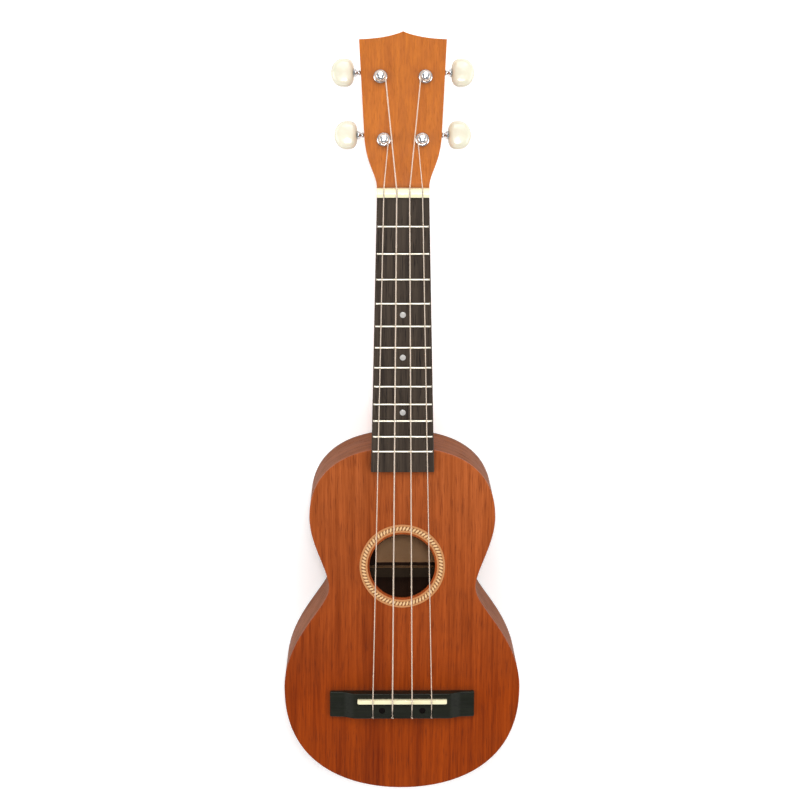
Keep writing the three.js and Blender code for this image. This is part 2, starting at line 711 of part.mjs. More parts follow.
wormShaft.rotateY(Math.PI / 2).translate(0, gearToWorm, -wormDepth);

// Base plate: a strip under the gear, with a lug at each end of the worm and two screw holes.
const plateFrom = -platePast - postRadius;
const plateTo = gearToWorm + platePast;
const plateHalf = plateWidth / 2;
const plateBar = box([-plateHalf, plateFrom, -plateHigh], [plateHalf, plateTo, -plateLow]);
const lugFoot = -plateLow - plateThickness / 2;
const lugReach = -wormDepth - shaftRadius - 1.2;
const lugs = [-1, 1].map((end) => {
  const [near, far] = end < 0 ? [-lugTo, -lugFrom] : [lugFrom, lugTo];
  return box([near, gearToWorm - 2.6, lugReach], [far, gearToWorm + 2.6, lugFoot]);
});
const bearing = rod(shaftRadius + runningGap, 0, lugTo + 1).rotateY(Math.PI / 2);
const innerBearing = rod(wormRoot + runningGap, -lugTo - 1, 0).rotateY(Math.PI / 2);
const plateCuts = [
  bearing.translate(0, gearToWorm, -wormDepth),
  innerBearing.translate(0, gearToWorm, -wormDepth),
  rod(postRadius + glueGap, -plateHigh - 1, -plateLow + 1),
  rod(screwHoleRadius, -plateHigh - 1, -plateLow + 1, 12).translate(0, plateFrom + 2.4, 0),
  rod(screwHoleRadius, -plateHigh - 1, -plateLow + 1, 12).translate(0, plateTo - 2.4, 0),
];
const basePlate = cut(join(plateBar, ...lugs), ...plateCuts);

// Button: an oval with one hollowed side, pushed on the end of the shaft.
const buttonShape = new THREE.Shape()
  .moveTo(buttonGapFromPost, -buttonHeight * 0.3)
  .bezierCurveTo(
    buttonGapFromPost + buttonLength * 0.1, -buttonHeight * 0.57,
    buttonEnd, -buttonHeight * 0.63,
    buttonEnd, 0,
  )
  .bezierCurveTo(
    buttonEnd, buttonHeight * 0.63,
    buttonGapFromPost + buttonLength * 0.1, buttonHeight * 0.57,
    buttonGapFromPost, buttonHeight * 0.3,
  )
  .quadraticCurveTo(buttonGapFromPost + 0.6, 0, buttonGapFromPost, -buttonHeight * 0.3);
const bevel = 1.5;
const buttonBlank = new THREE.ExtrudeGeometry(buttonShape, {
  depth: buttonThickness - 2 * bevel,
  bevelThickness: bevel,
  bevelSize: bevel,
  bevelOffset: -bevel,
  bevelSegments: 2,
  curveSegments: 8,
}).translate(0, gearToWorm, -wormDepth - buttonThickness / 2 + bevel);
const buttonBore = rod(shaftRadius - 0.2 + slotGap, 0, buttonGapFromPost + buttonBoreDepth, 12);
const button = cut(buttonBlank, buttonBore.rotateY(Math.PI / 2).translate(0, gearToWorm, -wormDepth));

const tunerPieces = {
  bushing: [bushing, 'chrome'],
  post: [post, 'chrome'],
  gear: [gear, 'brass'],
  worm_shaft: [wormShaft, 'chrome'],
  base_plate: [basePlate, 'chrome'],
  button: [button, 'ivoryPlastic'],
};
const tuners = strings.map(({ name, side: hand, post: level }) => {
  const place = level === 'lower' ? lowerPost : upperPost;
  return { letter: name.slice(-1), hand, place };
});
for (const { letter, hand, place } of tuners) {
  const tuner = new THREE.Group();
  tuner.position.set(hand * place.across, place.along, 0);
  headFrame.add(tuner);
  for (const [name, [geometry, finish]] of Object.entries(tunerPieces)) {
    const copy = hand < 0 ? mirrored(geometry) : geometry.clone();
    addPiece(tuner, `${name}_${letter}`, copy, finish);
  }
}

// ---- Strings: one length each, from its tail in the bridge to its turns round the post ----

// A path whose steps end exactly on the given points.
class PathThrough extends THREE.Curve {
  constructor(points) {
    super();
    this.points = points;
  }

  getPoint(t, target = new THREE.Vector3()) {
    const place = t * (this.points.length - 1);
    const index = Math.min(Math.floor(place), this.points.length - 2);
    return target.lerpVectors(this.points[index], this.points[index + 1], place - index);
  }

  getTangent(t, target = new THREE.Vector3()) {
    const index = Math.round(t * (this.points.length - 1));
    const before = this.points[Math.max(index - 1, 0)];
    const here = this.points[index];
    const after = this.points[Math.min(index + 1, this.points.length - 1)];
    const arriving = here.clone().sub(before).normalize();
    const leaving = after.clone().sub(here).normalize();
    return target.copy(arriving.add(leaving)).normalize();
  }

  getUtoTmapping(u) {
    return u;
  }
}

function headPoint(x, along, above) {
  return new THREE.Vector3(
    x,
    nutBack + along * Math.cos(headTilt) + above * Math.sin(headTilt),
    bodyDepth - along * Math.sin(headTilt) + above * Math.cos(headTilt),
  );
}

for (const { name, radius, side: hand, place, post: level } of strings) {
  const atSaddle = (place * saddleSpread) / 2;
  const atNut = (place * nutSpread) / 2;
  const { across, along } = level === 'lower' ? lowerPost : upperPost;
  const saddleHigh = saddleTop + stringLift + radius;
  const nutHigh = nutTop - nutSlotDepth + stringLift + radius;
  const tailHigh = bodyDepth + tieHeight;
  const points = [
    new THREE.Vector3(atSaddle, bridgeBack - 0.8, tailHigh),
    new THREE.Vector3(atSaddle, bridgeBack + 2, tailHigh + radius),
    new THREE.Vector3(atSaddle, saddleBack, saddleHigh),
    new THREE.Vector3(atSaddle, saddleFront, saddleHigh),
    new THREE.Vector3(atNut, nutFront, nutHigh),
    new THREE.Vector3(atNut, nutBack, nutHigh),
  ];
  const windingRadius = postRadius + glueGap + radius;
  const pitch = 2 * radius + 0.15;
  for (let step = 0; step <= windingTurns * pointsPerTurn; step += 1) {
    const turn = step / pointsPerTurn;
    const angle = Math.PI - 2 * Math.PI * turn;
    const x = hand * (across + windingRadius * Math.cos(angle));
    const y = along + windingRadius * Math.sin(angle);
    points.push(headPoint(x, y, stringHeightOnPost + radius - pitch * turn));
  }
  const section = new THREE.Shape().absarc(0, 0, radius, 0, 2 * Math.PI);
  const settings = { extrudePath: new PathThrough(points), steps: points.length - 1, curveSegments: 4 };
  addPiece(ukulele, name, new THREE.ExtrudeGeometry(section, settings), 'nylon');
}

// ---- Middle of the whole length on the origin ----
const headTip = nutBack + headLength * Math.cos(headTilt);
ukulele.position.y = -(headTip + tailAt) / 2;

export default ukulele;
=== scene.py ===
import bmesh
import bpy
import json
import math
from mathutils import Matrix, Vector


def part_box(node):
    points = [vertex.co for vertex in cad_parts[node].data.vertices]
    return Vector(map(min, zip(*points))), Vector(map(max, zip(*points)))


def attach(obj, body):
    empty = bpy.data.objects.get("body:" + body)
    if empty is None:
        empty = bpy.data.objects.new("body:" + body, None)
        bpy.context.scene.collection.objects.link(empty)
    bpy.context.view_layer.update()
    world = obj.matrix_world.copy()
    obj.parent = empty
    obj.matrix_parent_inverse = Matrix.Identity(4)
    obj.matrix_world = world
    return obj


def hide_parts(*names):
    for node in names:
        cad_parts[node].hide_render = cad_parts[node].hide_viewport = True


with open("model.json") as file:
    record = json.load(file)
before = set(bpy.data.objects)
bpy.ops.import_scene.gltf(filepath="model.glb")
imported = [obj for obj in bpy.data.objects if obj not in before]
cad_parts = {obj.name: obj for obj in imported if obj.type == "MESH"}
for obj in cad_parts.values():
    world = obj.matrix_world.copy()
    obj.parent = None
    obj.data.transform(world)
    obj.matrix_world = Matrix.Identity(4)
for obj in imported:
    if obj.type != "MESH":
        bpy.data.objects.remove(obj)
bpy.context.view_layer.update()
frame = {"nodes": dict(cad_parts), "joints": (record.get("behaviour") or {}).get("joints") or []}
scene = bpy.context.scene
MM = 0.001

# ---- Camera ----
# A long lens above the soundboard, a little to the bass side and towards the headstock,
# upright along the strings.
soundboard_low, soundboard_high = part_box("soundboard")
face_z = soundboard_high.z
last_fret_low, last_fret_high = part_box("fret_12")
joint_y = (last_fret_low.y + last_fret_high.y) / 2
camera_target = Vector((-1.8 * MM, joint_y + 34.9 * MM, face_z))
camera_distance = 1500 * MM
camera_rise = math.radians(11.08)
camera_swing = math.radians(-0.74)
camera_roll = math.radians(0.10)
camera_back = Vector((
    math.sin(camera_swing) * math.cos(camera_rise),
    math.sin(camera_rise),
    math.cos(camera_swing) * math.cos(camera_rise),
))
camera_right = Vector((0, 1, 0)).cross(camera_back).normalized()
camera_up = camera_back.cross(camera_right)
turned_right = camera_right * math.cos(camera_roll) + camera_up * math.sin(camera_roll)
turned_up = camera_up * math.cos(camera_roll) - camera_right * math.sin(camera_roll)
camera = bpy.data.objects.new("camera", bpy.data.cameras.new("camera"))
camera.matrix_world = Matrix.Translation(camera_target + camera_back * camera_distance) @ Matrix((
    turned_right, turned_up, camera_back,
)).transposed().to_4x4()
camera.data.sensor_width = 36
camera.data.lens = 98.74
camera.data.clip_start = 0.05
camera.data.clip_end = 20
scene.collection.objects.link(camera)
scene.camera = camera
scene.view_settings.view_transform = "Standard"

# ---- Studio ----
# A plain pale floor under a soft room of light: bright at the horizon, dimmer overhead, so
# that the satin wood keeps its colour. Wide lamps stand round the instrument.
def new_material(name):
    material = bpy.data.materials.new(name)
    material.use_nodes = True
    return material, material.node_tree, material.node_tree.nodes["Principled BSDF"]


def give(tree, node, inputs):
    """Sets a node's inputs to constants, or joins other sockets to them."""
    for name, value in inputs.items():
        if isinstance(value, (int, float, tuple)):
            node.inputs[name].default_value = value
        else:
            tree.links.new(value, node.inputs[name])


floor_mesh = bpy.data.meshes.new("floor")
floor_half = 4.0
floor_mesh.from_pydata(
    [(-floor_half, -floor_half, 0), (floor_half, -floor_half, 0),
     (floor_half, floor_half, 0), (-floor_half, floor_half, 0)],
    [], [(0, 1, 2, 3)],
)
floor = bpy.data.objects.new("floor", floor_mesh)
scene.collection.objects.link(floor)
floor.location.z = -0.4 * MM
floor_paint, tree, shader = new_material("floor_paint")
give(tree, shader, {
    "Base Color": (0.93, 0.93, 0.93, 1), "Roughness": 0.9,
    "Emission Color": (1, 1, 1, 1), "Emission Strength": 0.25,
})
floor_mesh.materials.append(floor_paint)


def split_xyz(tree, vector):
    split = tree.nodes.new("ShaderNodeSeparateXYZ")
    tree.links.new(vector, split.inputs[0])
    return split.outputs


room = bpy.data.worlds.new("room")
scene.world = room
room.use_nodes = True
tree = room.node_tree
height = split_xyz(tree, tree.nodes.new("ShaderNodeTexCoord").outputs["Generated"])["Z"]
sky = tree.nodes.new("ShaderNodeValToRGB")
sky.color_ramp.elements[0].position = 0.0
sky.color_ramp.elements[0].color = (1.0, 1.0, 1.0, 1)
sky.color_ramp.elements[1].position = 0.8
sky.color_ramp.elements[1].color = (0.22, 0.22, 0.225, 1)
tree.links.new(height, sky.inputs[0])
give(tree, tree.nodes["Background"], {"Color": sky.outputs[0], "Strength": 0.95})

lamps = {
    "lamp_head": ((0.1, 1.5, 1.7), 1.3, 22),
    "lamp_bass": ((-1.7, 0.1, 1.2), 1.2, 13),
    "lamp_treble": ((1.7, 0.0, 1.2), 1.2, 12),
    "lamp_tail": ((0.0, -1.9, 0.9), 1.2, 9),
    "lamp_front": ((0.02, 0.42, 1.75), 0.25, 7),
}
for name, (place, size, power) in lamps.items():
    lamp = bpy.data.objects.new(name, bpy.data.lights.new(name, "AREA"))
    lamp.data.shape = "DISK"
    lamp.data.size = size
    lamp.data.energy = power
    lamp.location = place
    lamp.rotation_euler = (-Vector(place)).to_track_quat("-Z", "Y").to_euler()
    scene.collection.objects.link(lamp)

# ---- Back ----
# One flat plate of mahogany in the body's outline, glued under the sides, its outer edge
# rounded by sanding and painted dark as shade. The outline is a smooth curve through its corners.
def smooth_loop(points, parts):
    """A closed loop through the points, with parts steps between each two."""
    count = len(points)
    loop = []
    for index in range(count):
        a, b, c, d = (points[(index + offset) % count] for offset in (-1, 0, 1, 2))
        for part in range(parts):
            t = part / parts
            loop.append(
                b + (c - a) * (t / 2)
                + (2 * a - 5 * b + 4 * c - d) * (t * t / 2)
                + (3 * b - a - 3 * c + d) * (t ** 3 / 2)
            )
    return loop


back_low, back_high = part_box("back_plate")
corners = [v.co for v in frame["nodes"]["back_plate"].data.vertices]
ring = {(round(v.x, 6), round(v.y, 6)) for v in corners if v.z > back_high.z - 1e-5}
waist_from, waist_to = -150 * MM, -80 * MM
waist_side = [p for p in ring if p[0] > 0 and waist_from < p[1] < waist_to]
waist_y = min(waist_side, key=lambda p: p[0])[1]
ring = sorted((Vector(p) for p in ring), key=lambda p: math.atan2(p.y - waist_y, p.x))
body_loop = smooth_loop(ring, 4)
body_count = len(body_loop)


def body_outline(inset, z):
    """The body's outline moved inwards, at one height."""
    moved = []
    for index, point in enumerate(body_loop):
        tangent = (body_loop[(index + 1) % body_count] - body_loop[index - 1]).normalized()
        moved.append(Vector((point.x - tangent.y * inset, point.y + tangent.x * inset, z)))
    return moved


def loft(name, rings, around=False):
    """A skin through rings of equally many points; around joins the last ring to the first."""
    mesh = bpy.data.meshes.new(name)
    count = len(rings[0])
    vertices = [tuple(point) for ring_points in rings for point in ring_points]
    faces = []
    for row in range(len(rings) if around else len(rings) - 1):
        here = row * count
        there = ((row + 1) % len(rings)) * count
        for index in range(count):
            after = (index + 1) % count
            faces.append((here + index, here + after, there + after, there + index))
    if not around:
        faces.append(tuple(reversed(range(count))))
        faces.append(tuple(range(len(vertices) - count, len(vertices))))
    mesh.from_pydata(vertices, [], faces)
    return mesh


def add_piece(name, mesh, material, body, node=None, sharp=35):
    """Puts a mesh in the scene, smooth except at its sharp edges, on one body."""
    tidy = bmesh.new()
    tidy.from_mesh(mesh)
    bmesh.ops.remove_doubles(tidy, verts=tidy.verts, dist=2e-7)
    bmesh.ops.recalc_face_normals(tidy, faces=tidy.faces)
    tidy.to_mesh(mesh)
    tidy.free()
    mesh.shade_smooth()
    mesh.set_sharp_from_angle(angle=math.radians(sharp))
    mesh.materials.clear()
    mesh.materials.append(material)
    piece = bpy.data.objects.new(name, mesh)
    scene.collection.objects.link(piece)
    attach(piece, body)
    evened = piece.modifiers.new("evened", "WEIGHTED_NORMAL")
    evened.keep_sharp = True
    if node:
        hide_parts(node)
    return piece


def add_sockets(group, inputs, outputs):
    for name, kind, value in inputs:
        socket = group.interface.new_socket(name, in_out="INPUT", socket_type=kind)
        socket.default_value = value
    for name, kind in outputs:
        group.interface.new_socket(name, in_out="OUTPUT", socket_type=kind)


def math_node(tree, operation, *values):
    node = tree.nodes.new("ShaderNodeMath")
    node.operation = operation
    give(tree, node, dict(enumerate(values)))
    return node.outputs[0]


def scaled(tree, value, factor, offset=None):
    """The value times a factor, plus an offset if there is one."""
    product = math_node(tree, "MULTIPLY", value, factor)
    return product if offset is None else math_node(tree, "ADD", product, offset)


def noise_node(tree, vector, stretch, detail=2.0, rough=0.5, distort=0.0):
    """Noise whose grains are as long as the inverse of the stretch along each axis."""
    mapping = tree.nodes.new("ShaderNodeMapping")
    give(tree, mapping, {"Vector": vector, "Scale": stretch})
    noise = tree.nodes.new("ShaderNodeTexNoise")
    give(tree, noise, {
        "Vector": mapping.outputs[0], "Scale": 1.0, "Detail": detail, "Roughness": rough,
        "Distortion": distort,
    })
    return noise.outputs[0]


def ramp_node(tree, value, low, high):
    ramp = tree.nodes.new("ShaderNodeMapRange")
    give(tree, ramp, {"Value": value, "From Min": low, "From Max": high})
    return ramp.outputs[0]


def mix_node(tree, share, first, second):
    mix = tree.nodes.new("ShaderNodeMix")
    mix.data_type = "RGBA"
    give(tree, mix, {0: share, 6: first, 7: second})
    return mix.outputs[2]


def group_node(tree, group, inputs):
    node = tree.nodes.new("ShaderNodeGroup")
    node.node_tree = group
    give(tree, node, inputs)
    return node.outputs


def bump_node(tree, height, depth, strength=1.0):
    bump = tree.nodes.new("ShaderNodeBump")
    give(tree, bump, {"Height": height, "Distance": depth, "Strength": strength})
    return bump.outputs[0]


# Straight-grained wood: broad ribbons, fine fibres and short dark pores, all along y.
grain_group = bpy.data.node_groups.new("wood_grain", "ShaderNodeTree")
add_sockets(
    grain_group,
    [("Place", "NodeSocketVector", (0, 0, 0)), ("Dark", "NodeSocketColor", (0.1, 0.03, 0.01, 1)),
     ("Light", "NodeSocketColor", (0.3, 0.1, 0.03, 1)),
     ("Pore", "NodeSocketColor", (0.05, 0.01, 0.0, 1)),
     ("Ribbon", "NodeSocketFloat", 0.5), ("Pores", "NodeSocketFloat", 0.6)],
    [("Color", "NodeSocketColor"), ("Roughness", "NodeSocketFloat"), ("Height", "NodeSocketFloat")],
)
tree = grain_group
given = tree.nodes.new("NodeGroupInput").outputs
result = tree.nodes.new("NodeGroupOutput")
wander = noise_node(tree, given["Place"], (14, 5, 14), 1.0)
shift = tree.nodes.new("ShaderNodeCombineXYZ")
tree.links.new(scaled(tree, math_node(tree, "SUBTRACT", wander, 0.5), 0.006), shift.inputs[0])
bent = tree.nodes.new("ShaderNodeVectorMath")
tree.links.new(given["Place"], bent.inputs[0])
tree.links.new(shift.outputs[0], bent.inputs[1])
ribbon = noise_node(tree, bent.outputs[0], (190, 3.2, 90), 2.0, 0.55)
fibre = noise_node(tree, bent.outputs[0], (620, 17, 420), 3.0, 0.62)
fine = noise_node(tree, bent.outputs[0], (1500, 60, 900), 2.0, 0.6)
tone = noise_node(tree, given["Place"], (16, 7, 16), 1.0)
ribbon_share = math_node(tree, "MULTIPLY", ramp_node(tree, ribbon, 0.3, 0.7), given["Ribbon"])
fibre_share = scaled(tree, ramp_node(tree, fibre, 0.28, 0.72), 0.62)
total = math_node(tree, "ADD", ribbon_share, fibre_share)
total = math_node(tree, "ADD", total, scaled(tree, tone, 0.35))
total = ramp_node(tree, total, 0.2, 1.15)
wood_colour = mix_node(tree, total, given["Dark"], given["Light"])
pore_mask = math_node(tree, "MULTIPLY", ramp_node(tree, fine, 0.56, 0.66), given["Pores"])
give(tree, result, {
    "Color": mix_node(tree, pore_mask, wood_colour, given["Pore"]),
    "Roughness": math_node(
        tree, "ADD", scaled(tree, fibre, 0.22, 0.3), scaled(tree, pore_mask, 0.25),
    ),
    "Height": math_node(tree, "SUBTRACT", scaled(tree, fibre, 0.5), pore_mask),
})

# Hand wear and painted shade: a soft cloud of slightly duller, darker patches, and painted shade that
# darkens the corners and creases by how occluded they are.
wear_and_shade_group = bpy.data.node_groups.new("handling_and_corner_shade", "ShaderNodeTree")
add_sockets(
    wear_and_shade_group,
    [("Place", "NodeSocketVector", (0, 0, 0)), ("Color", "NodeSocketColor", (0.5, 0.5, 0.5, 1)),
     ("Roughness", "NodeSocketFloat", 0.4), ("Amount", "NodeSocketFloat", 0.3)],
    [("Color", "NodeSocketColor"), ("Roughness", "NodeSocketFloat")],
)
tree = wear_and_shade_group
given = tree.nodes.new("NodeGroupInput").outputs
result = tree.nodes.new("NodeGroupOutput")
cloud = noise_node(tree, given["Place"], (45, 45, 45), 4.0, 0.6)
patch = math_node(tree, "MULTIPLY", ramp_node(tree, cloud, 0.45, 0.75), given["Amount"])
worn_patches = mix_node(tree, patch, given["Color"], (0.0, 0.0, 0.0, 1))
# Painted shade: corners, creases and recesses are darkened by their ambient occlusion.
occlusion = tree.nodes.new("ShaderNodeAmbientOcclusion")
occlusion.samples = 4
occlusion.inputs["Distance"].default_value = 4 * MM
corner = scaled(tree, math_node(tree, "SUBTRACT", 1.0, occlusion.outputs["AO"]), 0.55)
give(tree, result, {
    "Color": mix_node(tree, corner, worn_patches, (0.02, 0.015, 0.01, 1)),
    "Roughness": math_node(tree, "ADD", given["Roughness"], scaled(tree, patch, 0.5)),
})


def place_on(tree, along="y"):
    """The spot's place on the piece, with the grain's run turned to y."""
    if along == "strip":
        place = tree.nodes.new("ShaderNodeUVMap").outputs[0]
    else:
        place = tree.nodes.new("ShaderNodeTexCoord").outputs["Object"]
    if along == "y":
        return place
    split = split_xyz(tree, place)
    turned = tree.nodes.new("ShaderNodeCombineXYZ")
    for target, source in zip(turned.inputs, ("Y", "X", "Z")):
        tree.links.new(split[source], target)
    return turned.outputs[0]


def give_wear_and_shade(tree, shader, place, colour, roughness, wear, uneven=None):
    """Gives the shader a colour and a roughness, both worn by hands, and darkens its corners with
    painted shade.
    """
    worn_and_shaded = group_node(tree, wear_and_shade_group, {
        "Place": place, "Color": colour, "Roughness": roughness, "Amount": wear,
    })
    rough = worn_and_shaded["Roughness"] if uneven is None else math_node(tree, "ADD", worn_and_shaded["Roughness"], uneven)
    give(tree, shader, {"Base Color": worn_and_shaded["Color"], "Roughness": rough})


def wood(name, dark, light, pore, ribbon=0.5, pores=0.6, depth=0.08, coat=0.0, along="y",
         wear=0.12, specular=0.35, offset=0.0):
    """A wood finish. along is y or x for the grain's run, or strip for a bent strip's own map."""
    material, tree, shader = new_material(name)
    place = place_on(tree, along)
    grain = group_node(tree, grain_group, {
        "Place": place, "Dark": (*dark, 1), "Light": (*light, 1), "Pore": (*pore, 1),
        "Ribbon": ribbon, "Pores": pores,
    })
    roughness = math_node(tree, "ADD", grain["Roughness"], offset)
    give_wear_and_shade(tree, shader, place, grain["Color"], roughness, wear)
    give(tree, shader, {
        "Normal": bump_node(tree, grain["Height"], depth * MM, 0.5),
        "Specular IOR Level": specular, "Coat Weight": coat, "Coat Roughness": 0.25,
    })
    return material


def lay_over(material, mask, strength, colour):
    """Lays a colour over a material's own, as strongly as the mask."""
    tree = material.node_tree
    base = tree.nodes["Principled BSDF"].inputs["Base Color"]
    share = scaled(tree, mask, strength)
    tree.links.new(mix_node(tree, share, base.links[0].from_socket, (*colour, 1)), base)


back_wood = wood(
    "back_wood", (0.13, 0.030, 0.006), (0.30, 0.085, 0.018), (0.05, 0.012, 0.003),
    ribbon=0.6, specular=0.15,
)
edge_round = 0.9 * MM
arc_steps = 4


def rounded_edge(z_flat, z_turn):
    """Insets and heights of a quarter round, from the flat face out to the side."""
    quarter = [math.pi / 2 * step / arc_steps for step in range(arc_steps + 1)]
    reach = abs(z_turn - z_flat)
    sense = 1 if z_turn > z_flat else -1
    return [(reach * (1 - math.sin(a)), z_flat + sense * reach * (1 - math.cos(a))) for a in quarter]


# Painted shade: the rounded edge is darkened nearly to black, and the inner face is painted dark as if
# in shade.
tree = back_wood.node_tree
facing = split_xyz(tree, tree.nodes.new("ShaderNodeTexCoord").outputs["Normal"])
edge_shade_mask = ramp_node(tree, math_node(tree, "ABSOLUTE", facing["Z"]), 0.7, 0.3)
lay_over(back_wood, edge_shade_mask, 0.95, (0.012, 0.007, 0.005))
lay_over(back_wood, ramp_node(tree, facing["Z"], 0.4, 0.8), 0.93, (0.02, 0.01, 0.006))
back_profile = rounded_edge(back_low.z, back_low.z + edge_round) + [(0, back_high.z)]
back_rings = [body_outline(inset, z) for inset, z in back_profile]
add_piece("back_board", loft("back_board", back_rings), back_wood, "root", "back_plate")

# ---- Sides ----
# Two thin strips of mahogany, wetted and bent over a hot pipe, meeting at the tail and
# behind the heel. The grain runs along the strip.
side_wood = wood(
    "side_wood", (0.12, 0.032, 0.008), (0.27, 0.080, 0.022), (0.06, 0.015, 0.005),
    ribbon=0.6, along="strip", specular=0.05, offset=0.12,
)
side_low, side_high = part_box("side_right")
side_thick = 1.8 * MM
grain_shift = 0.1
tail_index = min(range(body_count), key=lambda i: body_loop[i].y)
top_index = max(range(body_count), key=lambda i: (body_loop[i].y, -abs(body_loop[i].x)))
for hand, node in ((1, "side_right"), (-1, "side_left")):
    indices = []
    index = tail_index
    while index != top_index:
        indices.append(index)
        index = (index + hand) % body_count
    indices.append(top_index)
    edges = [body_outline(inset, z) for inset, z in (
        (0, side_low.z), (0, side_high.z), (side_thick, side_high.z), (side_thick, side_low.z),
    )]
    sections = [tuple(edge[i] for edge in edges) for i in indices]
    for section in (sections[0], sections[-1]):
        for corner_point in section:
            corner_point.x = 0
    mesh = loft(node + "_strip", sections)
    run = [0.0]
    for before, after in zip(sections, sections[1:]):
        run.append(run[-1] + (after[0] - before[0]).length)
    strip_map = mesh.uv_layers.new(name="UVMap")
    for loop in mesh.loops:
        row = loop.vertex_index // 4
        spot = mesh.vertices[loop.vertex_index].co
        strip_map.data[loop.index].uv = (run[row], spot.z + grain_shift * (hand + 1))
    add_piece(node + "_strip", mesh, side_wood, "root", node)

# ---- Blocks, linings and braces ----
# Plain sawn wood inside the body: blocks that hold the neck and the tail seam, strips that
# widen the glue joints, and bars across the soundboard and the back.
inner_wood, cross_wood = (
    wood(name, (0.33, 0.19, 0.09), (0.55, 0.36, 0.2), (0.2, 0.1, 0.05), pores=0.3, depth=0.2,
         specular=0.2, offset=0.3, wear=0.2, along=along)
    for name, along in (("inner_wood", "y"), ("cross_wood", "x"))
)
# Painted shade: the faces of the braces that look up are darkened, as if in the shade inside the body.
tree = cross_wood.node_tree
facing = split_xyz(tree, tree.nodes.new("ShaderNodeTexCoord").outputs["Normal"])
lay_over(cross_wood, ramp_node(tree, facing["Z"], 0.4, 0.8), 0.93, (0.03, 0.018, 0.01))
for name, node in frame["nodes"].items():
    if "lining" in name or "block" in name or "brace" in name:
        node.data.materials.clear()
        node.data.materials.append(cross_wood if "brace" in name else inner_wood)

# ---- Paper label ----
# A blank maker's slip of tan paper, mottled with age, glued to the inside of the back under
# the sound hole. Its corners have lifted a little.
paper, tree, shader = new_material("label_paper")
place = place_on(tree)
mottle = noise_node(tree, place, (90, 90, 90), 5.0, 0.7)
fibres = noise_node(tree, place, (2200, 900, 900), 3.0)
stain = ramp_node(tree, mottle, 0.3, 0.75)
aged = mix_node(tree, stain, (0.68, 0.38, 0.19, 1), (0.55, 0.28, 0.125, 1))
flecked = mix_node(tree, scaled(tree, fibres, 0.3), aged, (0.72, 0.45, 0.25, 1))
give(tree, shader, {
    "Base Color": flecked,
    "Roughness": scaled(tree, mottle, 0.2, 0.7),
    "Normal": bump_node(tree, fibres, 0.05 * MM),
})
label_low_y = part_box("back_brace_upper")[1].y + 2.3 * MM
label_width, label_height, label_thick = 48 * MM, 34 * MM, 0.12 * MM
label_left_share = 0.37
label_lift = 0.5 * MM
label_steps = 16
label_rings = []
for row in range(label_steps + 1):
    v = row / label_steps
    edge = []
    for column in range(label_steps + 1):
        u = column / label_steps
        lift = label_lift * (abs(2 * u - 1) ** 6) * (abs(2 * v - 1) ** 6)
        edge.append(Vector((
            (u - label_left_share) * label_width,
            label_low_y + v * label_height,
            back_high.z + 0.05 * MM + lift,
        )))
    label_rings.append(edge + [p + Vector((0, 0, label_thick)) for p in reversed(edge)])
add_piece("paper_label", loft("paper_label", label_rings), paper, "root")

# ---- Soundboard ----
# A thin mahogany plate, stained red-brown and glued over the sides, its outer edge sanded
# round. It has the sound hole, and a shallow channel round it for the rosette.
hole_y = (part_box("rosette")[0].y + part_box("rosette")[1].y) / 2
rosette_outer = 29.7 * MM
rosette_channel = 0.6 * MM
hole_radius = 22.8 * MM
rosette_inner = hole_radius + 1.4 * MM
soundboard_wood = wood(
    "soundboard_wood", (0.15, 0.016, 0.0004), (0.35, 0.053, 0.002), (0.09, 0.010, 0.001),
    ribbon=0.4, pores=0.5, specular=0.12, offset=0.05,
)
# Painted light: the colour grows lighter towards the neck, where more light falls.
tree = soundboard_wood.node_tree
grain = next(node for node in tree.nodes if node.type == "GROUP" and node.node_tree == grain_group)
up_board = split_xyz(tree, place_on(tree))["Y"]
painted_light_to_neck = ramp_node(tree, up_board, joint_y - 175 * MM, joint_y - 25 * MM)
for socket, shaded_colour, lit_colour in (("Dark", (0.15, 0.016, 0.0004, 1), (0.22, 0.041, 0.005, 1)),
                            ("Light", (0.35, 0.053, 0.002, 1), (0.46, 0.112, 0.026, 1))):
    tree.links.new(mix_node(tree, painted_light_to_neck, shaded_colour, lit_colour), grain.inputs[socket])


def hole_ring(radius, z):
    """A circle round the sound hole, each point towards a point of the outline."""
    ring_points = []
    for outline_point in body_loop:
        angle = math.atan2(outline_point.y - hole_y, outline_point.x)
        ring_points.append(Vector((radius * math.cos(angle), hole_y + radius * math.sin(angle), z)))
    return ring_points


hole_round = 0.35 * MM
channel_gap = 0.06 * MM
top_edge = reversed(rounded_edge(face_z, face_z - edge_round))
top_rings = [body_outline(0, soundboard_low.z)] + [body_outline(inset, z) for inset, z in top_edge]
top_rings += [hole_ring(radius, z) for radius, z in (
    (rosette_outer + channel_gap, face_z),
    (rosette_outer + channel_gap, face_z - rosette_channel),
    (rosette_inner - channel_gap, face_z - rosette_channel),
    (rosette_inner - channel_gap, face_z),
    (hole_radius + hole_round, face_z),
    (hole_radius + hole_round * 0.3, face_z - hole_round * 0.3),
    (hole_radius, face_z - hole_round),
    (hole_radius, soundboard_low.z),
)]
top_mesh = loft("sound_board", top_rings, around=True)
add_piece("sound_board", top_mesh, soundboard_wood, "root", "soundboard")

# ---- Rosette ----
# A ring of marquetry let into a channel round the sound hole: pale slanted lozenges with
# dark wood between them, and a tan veneer line on each side.
rosette_count = 72
ring_steps = 144
rosette_top = face_z + 0.02 * MM


def round_ring(radius, z, centre=(0, 0), count=ring_steps):
    return [Vector((
        centre[0] + radius * math.cos(2 * math.pi * step / count),
        centre[1] + radius * math.sin(2 * math.pi * step / count),
        z,
    )) for step in range(count)]


